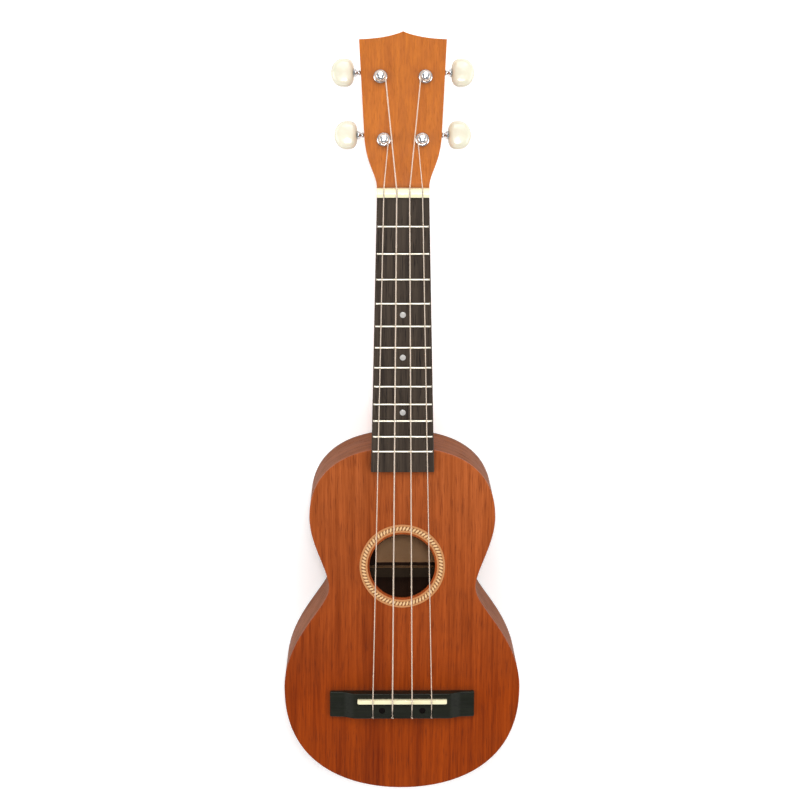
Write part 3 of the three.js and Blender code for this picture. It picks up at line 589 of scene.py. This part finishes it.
rosette_ease = 0.05 * MM
rosette_foot = rosette_top - 0.5 * MM
rosette_rings = [round_ring(radius, z, (0, hole_y)) for radius, z in (
    (rosette_outer, rosette_foot),
    (rosette_outer, rosette_top - rosette_ease),
    (rosette_outer - rosette_ease, rosette_top),
    (rosette_inner + rosette_ease, rosette_top),
    (rosette_inner, rosette_top - rosette_ease),
    (rosette_inner, rosette_foot),
)]
marquetry, tree, shader = new_material("rosette_marquetry")
place = place_on(tree)
split = split_xyz(tree, place)
from_centre = math_node(tree, "SUBTRACT", split["Y"], hole_y)
angle = math_node(tree, "ARCTAN2", from_centre, split["X"])
across_square = math_node(tree, "MULTIPLY", split["X"], split["X"])
up_square = math_node(tree, "MULTIPLY", from_centre, from_centre)
radius = math_node(tree, "SQRT", math_node(tree, "ADD", across_square, up_square))
from_middle = math_node(tree, "SUBTRACT", radius, (rosette_outer + rosette_inner) / 2)
turns = scaled(tree, angle, rosette_count / (2 * math.pi))
slanted = math_node(tree, "ADD", turns, scaled(tree, from_middle, 0.17 / MM))
phase = math_node(tree, "FRACT", math_node(tree, "ADD", slanted, 100))
from_lozenge = math_node(tree, "ABSOLUTE", math_node(tree, "SUBTRACT", phase, 0.5))
wide = math_node(tree, "ABSOLUTE", from_middle)
tapered = math_node(tree, "ADD", from_lozenge, scaled(tree, wide, 0.13 / MM))
lozenge = ramp_node(tree, tapered, 0.40, 0.32)
band_half = 1.45 * MM
in_band = ramp_node(tree, wide, band_half, 1.3 * MM)
from_border = math_node(tree, "ABSOLUTE", math_node(tree, "SUBTRACT", wide, band_half))
border_gap = ramp_node(tree, from_border, 0.14 * MM, 0.05 * MM)
fine_lines = noise_node(tree, place, (700, 700, 700), 4.0, 0.6)
cream = mix_node(tree, fine_lines, (0.88, 0.60, 0.32, 1), (0.66, 0.40, 0.17, 1))
dark_gap = mix_node(tree, fine_lines, (0.26, 0.085, 0.024, 1), (0.14, 0.040, 0.012, 1))
tan = mix_node(tree, fine_lines, (0.60, 0.27, 0.10, 1), (0.46, 0.19, 0.065, 1))
ringed = mix_node(tree, in_band, tan, mix_node(tree, lozenge, dark_gap, cream))
lined = mix_node(tree, scaled(tree, border_gap, 0.45), ringed, (0.16, 0.06, 0.02, 1))
inlay = math_node(tree, "ADD", math_node(tree, "MULTIPLY", lozenge, in_band), fine_lines)
give(tree, shader, {
    "Base Color": lined,
    "Roughness": scaled(tree, fine_lines, 0.2, 0.3),
    "Normal": bump_node(tree, inlay, 0.03 * MM, 0.6),
})
rosette_mesh = loft("rosette_ring", rosette_rings, around=True)
add_piece("rosette_ring", rosette_mesh, marquetry, "root", "rosette")

# ---- Bridge ----
# A bar of hardwood stained black and glued to the soundboard. A raised block holds the saddle
# and the four string slots, low wings taper to each side, and two plugs hide its screws.
def workpiece(name, mesh):
    """A mesh put in the scene for as long as it is worked on."""
    item = bpy.data.objects.new(name, mesh)
    scene.collection.objects.link(item)
    return item


def worked(item, *tools):
    """The mesh that an item's modifiers make. The item and its tools are then put away."""
    evaluated = item.evaluated_get(bpy.context.evaluated_depsgraph_get())
    finished = bpy.data.meshes.new_from_object(evaluated)
    for spare in (item, *tools):
        bpy.data.objects.remove(spare)
    return finished


def cut_away(mesh, cutters):
    """The mesh with the cutters' space taken out."""
    whole = workpiece("whole", mesh)
    tools = [workpiece("tool", cutter) for cutter in cutters]
    for tool in tools:
        modifier = whole.modifiers.new("cut", "BOOLEAN")
        modifier.operation = "DIFFERENCE"
        modifier.solver = "EXACT"
        modifier.object = tool
    return worked(whole, *tools)


def box_mesh(low, high):
    low_ring = [Vector((x, y, low[2])) for x, y in (
        (low[0], low[1]), (high[0], low[1]), (high[0], high[1]), (low[0], high[1]))]
    return loft("box", [low_ring, [Vector((p.x, p.y, high[2])) for p in low_ring]])


def lathe(name, profile, steps=48, closed=False):
    """A piece turned round z, from (radius, height) points in millimetres."""
    rings = [round_ring(max(radius * MM, 1e-6), z * MM, count=steps) for radius, z in profile]
    return loft(name, rings, around=closed)


bridge_low, bridge_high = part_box("bridge")
saddle_low, saddle_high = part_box("saddle")
block_half = saddle_high.x + 0.6 * MM
shoulder_sweep = 10 * MM
shoulder_steps = 14
wing_height, tip_height = 4.6 * MM, 3.0 * MM
block_height = bridge_high.z - face_z


def bridge_height_at(x):
    past = abs(x) - block_half
    if past <= 0:
        return block_height
    wing = wing_height + (tip_height - wing_height) * past / (bridge_high.x - block_half)
    share = min(past / shoulder_sweep, 1)
    return wing + (block_height - wing) * (0.5 + 0.5 * math.cos(math.pi * share))


bridge_stations = [bridge_high.x, bridge_high.x - 0.4 * MM] + [
    block_half + shoulder_sweep * step / shoulder_steps for step in range(shoulder_steps, -1, -1)
]
bridge_stations += [-x for x in reversed(bridge_stations)]
bridge_round = 0.7 * MM
bridge_rings = []
for x in bridge_stations:
    end = abs(x) > bridge_high.x - 1e-6
    height = bridge_height_at(x) - (0.5 * MM if end else 0)
    inset = 0.4 * MM if end else 0
    front, rear = bridge_high.y - inset, bridge_low.y + inset
    section = [(front, 0), (rear, 0), (rear, height - bridge_round)]
    section += [(rear + bridge_round * (1 - math.cos(a)), height - bridge_round * (1 - math.sin(a)))
                for a in (math.pi / 6, math.pi / 3, math.pi / 2)]
    section += [(front - bridge_round * (1 - math.cos(a)), height - bridge_round * (1 - math.sin(a)))
                for a in (math.pi / 2, math.pi / 3, math.pi / 6, 0)]
    bridge_rings.append([Vector((x, y, face_z + z)) for y, z in section])
strings = {
    "g": (0.36 * MM, -1), "c": (0.48 * MM, -1 / 3), "e": (0.42 * MM, 1 / 3), "a": (0.33 * MM, 1),
}
saddle_half_spread = 20.5 * MM
tie_height = 4.6 * MM
tie_stop = saddle_low.y - 3.3 * MM
bridge_cutters = []
for string_radius, place_across in strings.values():
    x = place_across * saddle_half_spread
    reach = string_radius + 0.3 * MM
    bridge_cutters.append(box_mesh(
        (x - reach, bridge_low.y - MM, face_z + tie_height - 0.5 * MM),
        (x + reach, tie_stop, bridge_high.z + MM),
    ))
plug_places = [(side * 14.1 * MM, bridge_low.y + 5.9 * MM) for side in (-1, 1)]
plug_radius = 2.2 * MM
bore_ends = (bridge_high.z - 0.8 * MM, bridge_high.z + MM)
for plug_place in plug_places:
    bore = [round_ring(plug_radius, z, plug_place, 40) for z in bore_ends]
    bridge_cutters.append(loft("bore", bore))
ebony = wood(
    "ebonised_wood", (0.005, 0.006, 0.003), (0.010, 0.012, 0.006), (0.002, 0.002, 0.001),
    ribbon=0.4, pores=0.7, depth=0.1, along="x", wear=0.0, specular=0.24, offset=0.02,
)
bridge_mesh = cut_away(loft("bridge_bar", bridge_rings), bridge_cutters)
add_piece("bridge_bar", bridge_mesh, ebony, "root", "bridge", sharp=30)

plug_wood = wood(
    "plug_wood", (0.002, 0.001, 0.001), (0.005, 0.003, 0.003), (0.001, 0.001, 0.001),
    depth=0.1, along="x", wear=0.0, specular=0.06, offset=0.2,
)
plug_profile = [(0, -0.8), (2.12, -0.8), (2.12, -0.42), (1.9, -0.3), (1.2, -0.24), (0, -0.22)]
for number, plug_place in enumerate(plug_places, 1):
    plug = lathe("bridge_plug", plug_profile, 40)
    plug.transform(Matrix.Translation((*plug_place, bridge_high.z)))
    add_piece(f"bridge_plug_{number}", plug, plug_wood, "root")

# ---- Saddle ----
# A strip of cream plastic standing in the bridge's slot, with its ends rounded down and its
# edges eased. It is a snug fit and held by the strings that cross it.
def bevelled(mesh, width, segments, angle):
    blank = workpiece("blank", mesh)
    bevel = blank.modifiers.new("bevel", "BEVEL")
    bevel.width = width
    bevel.segments = segments
    bevel.angle_limit = math.radians(angle)
    return worked(blank)


def softened(node, width, segments=3, angle=30):
    """A copy of a frame piece's shape with its sharp edges rounded."""
    mesh = frame["nodes"][node].data.copy()
    tidy = bmesh.new()
    tidy.from_mesh(mesh)
    bmesh.ops.remove_doubles(tidy, verts=tidy.verts, dist=1e-6)
    flat = math.radians(1)
    bmesh.ops.dissolve_limit(tidy, angle_limit=flat, verts=tidy.verts, edges=tidy.edges)
    tidy.to_mesh(mesh)
    tidy.free()
    return bevelled(mesh, width, segments, angle)


def plastic(name, pale, warm, roughness, swirl=(60, 60, 60), mottle=0.6, subsurface=0.0, coat=0.0):
    """A moulded plastic with a soft cloudy swirl in its colour."""
    material, tree, shader = new_material(name)
    place = place_on(tree)
    cloud = noise_node(tree, place, swirl, 3.0, 0.55, 0.8)
    speck = noise_node(tree, place, (900, 900, 900), 3.0)
    share = scaled(tree, ramp_node(tree, cloud, 0.3, 0.7), mottle)
    colour = mix_node(tree, share, (*pale, 1), (*warm, 1))
    give_wear_and_shade(tree, shader, place, colour, roughness, 0.05, scaled(tree, speck, 0.12))
    give(tree, shader, {
        "Normal": bump_node(tree, speck, 0.02 * MM), "Coat Weight": coat, "Coat Roughness": 0.08,
    })
    if subsurface:
        give(tree, shader, {
            "Subsurface Weight": subsurface, "Subsurface Radius": (0.002, 0.0015, 0.001),
        })
    return material


bone = plastic("cream_plastic", (0.90, 0.84, 0.56), (0.84, 0.75, 0.45), 0.24, coat=0.15)
add_piece("saddle_strip", softened("saddle", 0.45 * MM, 4), bone, "root", "saddle")

# ---- Neck ----
# One length of pale mahogany: a heel carved to a flat cap at the body, an oval shaft, and the
# headstock, which leans back from the nut and ends in a soft peak.
neck_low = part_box("neck")[0]
board_low, board_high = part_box("fingerboard")
nut_low, nut_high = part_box("nut")
joints = {joint["name"]: joint for joint in frame["joints"]}
head_up = Vector(joints["wind_g"]["axis"]).normalized()
head_tilt = math.atan2(head_up.y, head_up.z)
head_origin = Vector((0, nut_high.y, face_z))
head_along = Vector((0, math.cos(head_tilt), -math.sin(head_tilt)))
nut_half = nut_high.x
board_taper = (board_high.x - nut_half) / (nut_low.y - board_low.y)
heel_length, cap_length, heel_overrun = 52 * MM, 9 * MM, 9 * MM
head_thickness = 12.5 * MM
head_length = 104.7 * MM
head_corner = 99.5 * MM
head_corner_half = 29.5 * MM
head_flare_end = 37.4 * MM
head_flare_half = 26.2 * MM
body_top = soundboard_high.y
shaft_depth_at_body, shaft_depth_at_nut = 15.5 * MM, 13 * MM
heel_hollow = 2.4


def on_head(x, along, above):
    return head_origin + Vector((x, 0, 0)) + head_along * along + head_up * above


def bezier(a, b, c, d, count):
    points = []
    for step in range(count):
        t = step / count
        weights = ((1 - t) ** 3, 3 * (1 - t) ** 2 * t, 3 * (1 - t) * t * t, t ** 3)
        points.append(tuple(
            sum(w * p[axis] for w, p in zip(weights, (a, b, c, d))) for axis in (0, 1)
        ))
    return points


def board_half_at(y):
    return nut_half + board_taper * (nut_low.y - min(y, nut_low.y))


def neck_depth_at(y):
    along_shaft = (y - joint_y) / (nut_high.y - joint_y)
    shaft = shaft_depth_at_body + (shaft_depth_at_nut - shaft_depth_at_body) * along_shaft
    past = min(max((y - body_top - cap_length) / (heel_length - cap_length), 0), 1)
    return shaft + (face_z - neck_low.z + heel_overrun - shaft) * (1 - past) ** heel_hollow


def smooth_step(value, low, high):
    share = min(max((value - low) / (high - low), 0), 1)
    return share * share * (3 - 2 * share)


def half_section(power, steps=28):
    """Shares of the half width and of the depth round the underside; a low power squares it."""
    shares = []
    for step in range(steps + 1):
        angle = math.pi * step / steps
        across = math.copysign(abs(math.cos(angle)) ** power, math.cos(angle))
        shares.append((across, math.sin(angle) ** power))
    return shares


neck_stations = 64
tenon_length = 3.4 * MM
power_at_nut, power_at_peak = 0.28, 0.08
squaring_length = 26 * MM
shaft_start = body_top - tenon_length
shaft_end = nut_high.y - 3 * MM
neck_rings = []
for step in range(neck_stations):
    y = shaft_start + (shaft_end - shaft_start) * (step / (neck_stations - 1)) ** 1.5
    half, depth = board_half_at(y), neck_depth_at(y)
    squared = smooth_step(y, nut_high.y - squaring_length, nut_high.y)
    power = 1 - (1 - power_at_nut) * squared
    neck_rings.append([
        Vector((half * across, y, max(face_z - depth * down, neck_low.z)))
        for across, down in half_section(power)
    ])
head_edge = bezier(
    (nut_half, 0), (nut_half, 0.27 * head_flare_end),
    (0.97 * head_flare_half, 0.43 * head_flare_end), (head_flare_half, head_flare_end), 16,
)[1:]
head_edge += [
    (head_flare_half + (head_corner_half - head_flare_half) * step / 8,
     head_flare_end + (head_corner - head_flare_end) * step / 8) for step in range(8)
]
head_peak = head_length - head_corner
head_edge += bezier(
    (head_corner_half, head_corner), (0.66 * head_corner_half, head_corner + 0.06 * head_peak),
    (0.3 * head_corner_half, head_corner + 0.3 * head_peak), (0, head_length), 24,
)
head_edge.append((0.4 * MM, head_length - 0.02 * MM))
for half, along in head_edge:
    power = power_at_nut - (power_at_nut - power_at_peak) * smooth_step(along, 0, 20 * MM)
    neck_rings.append([
        on_head(half * across, along, -head_thickness * down) for across, down in half_section(power)
    ])
tuner_bores = []
bore_turn = head_up.to_track_quat("Z", "X").to_matrix().to_4x4()
for letter in "gcea":
    bore = lathe("bore", [(4.15, -head_thickness / MM - 2), (4.15, 2)], 40)
    bore.transform(Matrix.Translation(joints[f"wind_{letter}"]["pos_m"]) @ bore_turn)
    tuner_bores.append(bore)
neck_wood = wood(
    "neck_wood", (0.36, 0.085, 0.003), (0.56, 0.158, 0.012), (0.20, 0.042, 0.002),
    ribbon=0.35, pores=0.3, coat=0.03, specular=0.15, wear=0.05,
)
neck_mesh = bevelled(cut_away(loft("neck_blank", neck_rings), tuner_bores), 0.6 * MM, 3, 50)
add_piece("neck_and_headstock", neck_mesh, neck_wood, "root", "neck", sharp=40)

# ---- Fingerboard ----
# A dark rosewood strip, planed narrower towards the nut with its long edges eased, and glued
# along the neck and over the top of the body.
rosewood = wood(
    "rosewood", (0.014, 0.008, 0.005), (0.058, 0.041, 0.028), (0.008, 0.005, 0.004),
    ribbon=0.75, pores=0.8, depth=0.12, wear=0.05, specular=0.22, offset=0.1,
)
board_round = 0.5 * MM
end_ease = 0.35 * MM
board_rings = []
for y, inset in ((board_low.y, end_ease), (board_low.y + end_ease, 0), (joint_y, 0), (nut_low.y, 0)):
    half = board_half_at(y) - inset
    top = board_high.z - inset
    section = [(-half, face_z), (half, face_z), (half, top - board_round)]
    section += [(half - board_round * (1 - math.cos(a)), top - board_round * (1 - math.sin(a)))
                for a in (math.pi / 6, math.pi / 3, math.pi / 2)]
    section += [(-x, z) for x, z in reversed(section[2:])]
    board_rings.append([Vector((x, y, z)) for x, z in section])
board_mesh = loft("rosewood_board", board_rings)
add_piece("rosewood_board", board_mesh, rosewood, "root", "fingerboard", sharp=50)

# Position dots of pearly plastic, let in between the frets.
pearl = plastic(
    "pearl_dot", (0.55, 0.53, 0.50), (0.40, 0.39, 0.38), 0.25, (500, 500, 500), 0.8, coat=0.3,
)
dot_profile = [(0, -0.4), (2.0, -0.4), (2.0, 0.0), (1.9, 0.04), (0, 0.06)]
for upper, lower in ((4, 5), (6, 7), (9, 10)):
    dot_y = (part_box(f"fret_{upper:02d}")[0].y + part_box(f"fret_{lower:02d}")[1].y) / 2
    dot = lathe("dot", dot_profile, 40)
    dot.transform(Matrix.Translation((0, dot_y, board_high.z)))
    add_piece(f"position_dot_{lower:02d}", dot, pearl, "root")

# ---- Frets ----
# Twelve lengths of nickel silver wire pressed into the board, with a rounded crown and
# bevelled, filed ends.
def metal(name, pale, dull, roughness, scratch=(900, 60, 60), depth=0.02):
    """A polished metal with a faint tarnish and fine rubbed lines."""
    material, tree, shader = new_material(name)
    place = place_on(tree)
    cloud = noise_node(tree, place, (260, 260, 260), 4.0, 0.6)
    lines = noise_node(tree, place, scratch, 3.0, 0.7)
    colour = mix_node(tree, ramp_node(tree, cloud, 0.35, 0.75), (*pale, 1), (*dull, 1))
    give_wear_and_shade(tree, shader, place, colour, roughness, 0.08, scaled(tree, lines, 0.16))
    give(tree, shader, {"Normal": bump_node(tree, lines, depth * MM), "Metallic": 1.0})
    return material


fret_wire = metal("fret_wire", (0.83, 0.78, 0.66), (0.70, 0.64, 0.52), 0.22)
crown_steps = 10
filed_ends = ((-1, 0.12), (-0.985, 0.72), (-0.965, 1), (0.965, 1), (0.985, 0.72), (1, 0.12))
for number in range(1, 13):
    fret_low, fret_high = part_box(f"fret_{number:02d}")
    middle = (fret_low.y + fret_high.y) / 2
    crown = (fret_high.y - fret_low.y) / 2
    rise = fret_high.z - board_high.z
    fret_rings = []
    for across, share in filed_ends:
        arch = [Vector((
            across * fret_high.x,
            middle - crown * math.cos(math.pi * step / crown_steps),
            board_high.z + rise * share * math.sin(math.pi * step / crown_steps),
        )) for step in range(crown_steps + 1)]
        foot = [Vector((p.x, p.y, board_high.z - 0.3 * MM)) for p in (arch[-1], arch[0])]
        fret_rings.append(arch + foot)
    name = f"fret_wire_{number:02d}"
    add_piece(name, loft(name, fret_rings), fret_wire, "root", f"fret_{number:02d}")

# ---- Nut ----
# A block of the same cream plastic, glued across the end of the fingerboard, with a slot
# sawn for each string.
add_piece("nut_block", softened("nut", 0.25 * MM), bone, "root", "nut")

# ---- Tuning machines ----
# Four open geared machines. A chrome sleeve in the face guides the post, a plate on the back
# carries the worm between two lugs, and an ivory plastic button is pushed on the worm's shaft.
chrome = metal("tuner_chrome", (0.86, 0.87, 0.88), (0.70, 0.71, 0.72), 0.12, (300, 300, 300))
brass = metal("gear_brass", (0.72, 0.52, 0.22), (0.52, 0.36, 0.14), 0.25, (400, 400, 400), 0.04)
button_plastic = plastic(
    "button_plastic", (0.84, 0.82, 0.67), (0.75, 0.72, 0.55), 0.16, (110, 110, 160), 0.9,
    subsurface=0.15, coat=0.35,
)
sleeve_profile = [
    (3.10, -7.7), (4.00, -7.7), (4.00, 0.05), (4.62, 0.05), (4.70, 0.2), (4.70, 0.55), (4.50, 0.85),
    (4.05, 1.02), (3.95, 1.12), (3.85, 1.42), (3.60, 1.52), (3.25, 1.5), (3.10, 1.35),
]
post_profile = [
    (0, -18.0), (1.42, -18.0), (1.42, -14.2), (2.94, -14.2), (2.94, 1.9), (2.7, 2.25),
    (2.52, 2.9), (2.46, 4.2), (2.54, 5.3), (2.75, 5.85), (2.92, 6.1), (2.96, 6.4),
    (2.94, 6.7), (2.75, 7.0), (2.3, 7.25), (1.4, 7.44), (0, 7.5),
]
collar_profile = [
    (1.55, -4.0), (2.05, -3.9), (2.15, -3.5), (1.85, -3.1), (1.8, -2.4), (2.1, -1.8),
    (2.85, -1.3), (3.05, -1.0), (3.05, -0.5), (2.7, 0.6), (1.5, 1.1),
]
screw_profile = [
    (0, -3.0), (0.5, -2.4), (0.85, -0.6), (0.9, 0), (1.75, 0), (1.72, 0.25), (1.4, 0.6),
    (0.8, 0.8), (0, 0.86),
]
# Painted shade: the buttons are darker and yellower round the rim, where their sides turn away from
# the face.
tree = button_plastic.node_tree
facing = tree.nodes.new("ShaderNodeVectorMath")
facing.operation = "DOT_PRODUCT"
tree.links.new(tree.nodes.new("ShaderNodeTexCoord").outputs["Normal"], facing.inputs[0])
facing.inputs[1].default_value = head_up
rim_shade = ramp_node(tree, math_node(tree, "ABSOLUTE", facing.outputs["Value"]), 0.75, 0.1)
lay_over(button_plastic, rim_shade, 0.7, (0.42, 0.37, 0.24))


def button_mesh(inner, outer, half_height, half_thickness):
    """An oval finger button: rounder outside, nearly straight and a little hollow inside."""
    middle = (inner + outer) / 2
    reach = (outer - inner) / 2
    outline = []
    outline_steps, level_steps = 64, 16
    for step in range(outline_steps):
        angle = 2 * math.pi * step / outline_steps
        outside = math.cos(angle) > 0
        power = 1 if outside else 2 / 3.6
        x = math.copysign(abs(math.cos(angle)) ** power, math.cos(angle))
        y = math.copysign(abs(math.sin(angle)) ** (1 if outside else 2 / 2.1), math.sin(angle))
        if not outside:
            x += 0.08 * math.exp(-(y / 0.35) ** 2)
        outline.append((x, y))
    rings = []
    for step in range(level_steps + 1):
        lean = math.pi * (step / level_steps - 0.5)
        level = math.sin(lean)
        size = max(abs(math.cos(lean)) ** 0.34, 0.02)
        rings.append([Vector((
            middle + reach * x * size, half_height * y * size,
            half_thickness * level * (0.94 + 0.06 * abs(level)),
        )) for x, y in outline])
    return loft("button", rings)


def screw_mesh():
    """A small domed wood screw with a cross cut in its head, lying along z."""
    long, narrow = 1.05 * MM, 0.17 * MM
    cuts = [
        box_mesh((-x, -y, 0.4 * MM), (x, y, 1.2 * MM)) for x, y in ((long, narrow), (narrow, long))
    ]
    return cut_away(lathe("screw", screw_profile, 32), cuts)


def head_frame(place, hand=1):
    """A frame at a place on the headstock: x across it, y along it and z out of its face."""
    turn = Matrix((Vector((hand, 0, 0)), head_along, head_up)).transposed()
    return Matrix.Translation(place) @ turn.to_4x4()


screw_shape = screw_mesh()
screw_places = (-7.1 * MM, 8.7 * MM)
plate_back = -head_thickness - 1.3 * MM
string_hole_height = 4.6 * MM
button_half_height, button_half_thickness = 9.5 * MM, 3.75 * MM
for letter, (string_radius, place_across) in strings.items():
    hand = 1 if place_across > 0 else -1
    post_frame = head_frame(joints[f"wind_{letter}"]["pos_m"])
    sleeve = lathe("sleeve", sleeve_profile, closed=True)
    sleeve.transform(post_frame)
    add_piece(f"sleeve_{letter}", sleeve, chrome, "root", f"bushing_{letter}")

    hole = lathe("hole", [(0.8, -5), (0.8, 5)], 24)
    hole.transform(Matrix.Translation((0, 0, string_hole_height))
                   @ Matrix.Rotation(math.pi / 2, 4, "X"))
    post = cut_away(lathe("post", post_profile), [hole])
    post.transform(post_frame)
    add_piece(f"string_post_{letter}", post, chrome, f"post_{letter}", f"post_{letter}")

    gear = softened(f"gear_{letter}", 0.06 * MM, 2)
    add_piece(f"gear_wheel_{letter}", gear, brass, f"post_{letter}", f"gear_{letter}")
    worm = softened(f"worm_shaft_{letter}", 0.04 * MM, 1, 50)
    add_piece(f"worm_{letter}", worm, chrome, f"button_{letter}", f"worm_shaft_{letter}")
    plate = softened(f"base_plate_{letter}", 0.18 * MM)
    add_piece(f"plate_{letter}", plate, chrome, "root", f"base_plate_{letter}")

    worm_place = Vector(joints[f"tune_{letter}"]["pos_m"])
    ends = sorted(abs(corner.x) - abs(worm_place.x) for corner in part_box(f"button_{letter}"))
    button_frame = head_frame(worm_place, hand)
    button = button_mesh(*ends, button_half_height, button_half_thickness)
    button.transform(button_frame)
    add_piece(f"tuner_button_{letter}", button, button_plastic, f"button_{letter}", f"button_{letter}")
    collar = lathe("collar", collar_profile, 40)
    collar.transform(button_frame @ Matrix.Translation((ends[0] + 0.2 * MM, 0, 0))
                     @ Matrix.Rotation(math.pi / 2, 4, "Y"))
    add_piece(f"button_collar_{letter}", collar, chrome, f"button_{letter}")

    for number, along in enumerate(screw_places):
        screw = screw_shape.copy()
        screw.transform(post_frame @ Matrix.Translation((0, along, plate_back))
                        @ Matrix.Rotation(math.pi, 4, "X")
                        @ Matrix.Rotation(0.5 + number + place_across, 4, "Z"))
        add_piece(f"plate_screw_{letter}_{number + 1}", screw, chrome, "root")

# ---- Strings ----
# Four clear nylon strings. Each is knotted behind its slot in the bridge, crosses the saddle
# and the nut, and winds round its post, where the turns go with the post.
nylon, tree, shader = new_material("nylon")
cloud = noise_node(tree, place_on(tree), (300, 40, 300), 3.0)
drawn = mix_node(tree, cloud, (1.0, 0.86, 0.72, 1), (0.95, 0.78, 0.62, 1))
give(tree, shader, {
    "Base Color": drawn, "Roughness": scaled(tree, cloud, 0.15, 0.18),
    "Transmission Weight": 0.5, "IOR": 1.53,
})


def tube(name, path, radius, sides=12):
    """A round cord through the path's points, with closed ends."""
    rings = []
    across = None
    for index, point in enumerate(path):
        before, after = path[max(index - 1, 0)], path[min(index + 1, len(path) - 1)]
        direction = (after - before).normalized()
        across = (across - direction * across.dot(direction)) if across else direction.orthogonal()
        across.normalize()
        third = direction.cross(across)
        turns = [2 * math.pi * side / sides for side in range(sides)]
        rings.append([point + (across * math.cos(a) + third * math.sin(a)) * radius for a in turns])
    return loft(name, rings)


def eased(points, reach, steps=4):
    """The path with each corner rounded, starting the given distance before it."""
    path = [points[0]]
    for before, corner, after in zip(points, points[1:], points[2:]):
        start = corner + (before - corner).normalized() * min(reach, (before - corner).length / 2)
        end = corner + (after - corner).normalized() * min(reach, (after - corner).length / 2)
        for step in range(steps + 1):
            t = step / steps
            path.append(start * (1 - t) ** 2 + corner * (2 * t * (1 - t)) + end * t * t)
    return path + [points[-1]]


nut_half_spread = 13 * MM
saddle_lift, nut_sink = 0.06 * MM, 0.68 * MM
winding_turns = 2.5
steps_per_turn = 24
post_waist = 2.8 * MM
knot_steps = 40
knot_size = 0.36 * MM
for letter, (string_radius, place_across) in strings.items():
    hand = 1 if place_across > 0 else -1
    at_saddle, at_nut = place_across * saddle_half_spread, place_across * nut_half_spread
    tail_z = face_z + tie_height + string_radius
    saddle_z = saddle_high.z + saddle_lift + string_radius
    nut_z = nut_high.z - nut_sink + string_radius
    post_place = Vector(joints[f"wind_{letter}"]["pos_m"])
    along_head = (post_place - head_origin).dot(head_along)
    above_head = (post_place - head_origin).dot(head_up)
    winding_radius = post_waist + string_radius
    pitch = 2 * string_radius + 0.08 * MM
    winding = []
    for step in range(int(winding_turns * steps_per_turn) + 1):
        turn = step / steps_per_turn
        angle = math.pi - 2 * math.pi * turn
        winding.append(on_head(
            hand * (abs(post_place.x) + winding_radius * math.cos(angle)),
            along_head + winding_radius * math.sin(angle),
            string_hole_height + string_radius - pitch * turn + above_head,
        ))
    corners = [Vector(corner) for corner in (
        (at_saddle, bridge_low.y - 0.6 * MM, tail_z),
        (at_saddle, bridge_low.y + 2.2 * MM, tail_z),
        (at_saddle, saddle_low.y + 0.6 * MM, saddle_z),
        (at_saddle, saddle_high.y - 0.8 * MM, saddle_z),
        (at_nut, nut_low.y + 0.6 * MM, nut_z),
        (at_nut, nut_high.y - 0.8 * MM, nut_z - 0.4 * MM),
        winding[0],
    )]
    span = tube("span", eased(corners, 1.2 * MM), string_radius)
    add_piece(f"string_span_{letter}", span, nylon, "root", f"string_{letter}")
    turns = tube("turns", winding, string_radius)
    add_piece(f"string_turns_{letter}", turns, nylon, f"post_{letter}")
    knot_place = Vector((at_saddle, bridge_low.y - 0.2 * MM, tail_z - 0.2 * MM))
    knot = []
    for step in range(knot_steps + 1):
        t = 2 * math.pi * step / knot_steps
        knot.append(knot_place + knot_size * Vector((
            math.sin(t) + 2 * math.sin(2 * t),
            0.8 * math.sin(3 * t),
            math.cos(t) - 2 * math.cos(2 * t),
        )))
    knot_mesh = tube("knot", knot, string_radius * 0.8, 8)
    add_piece(f"string_knot_{letter}", knot_mesh, nylon, "root")
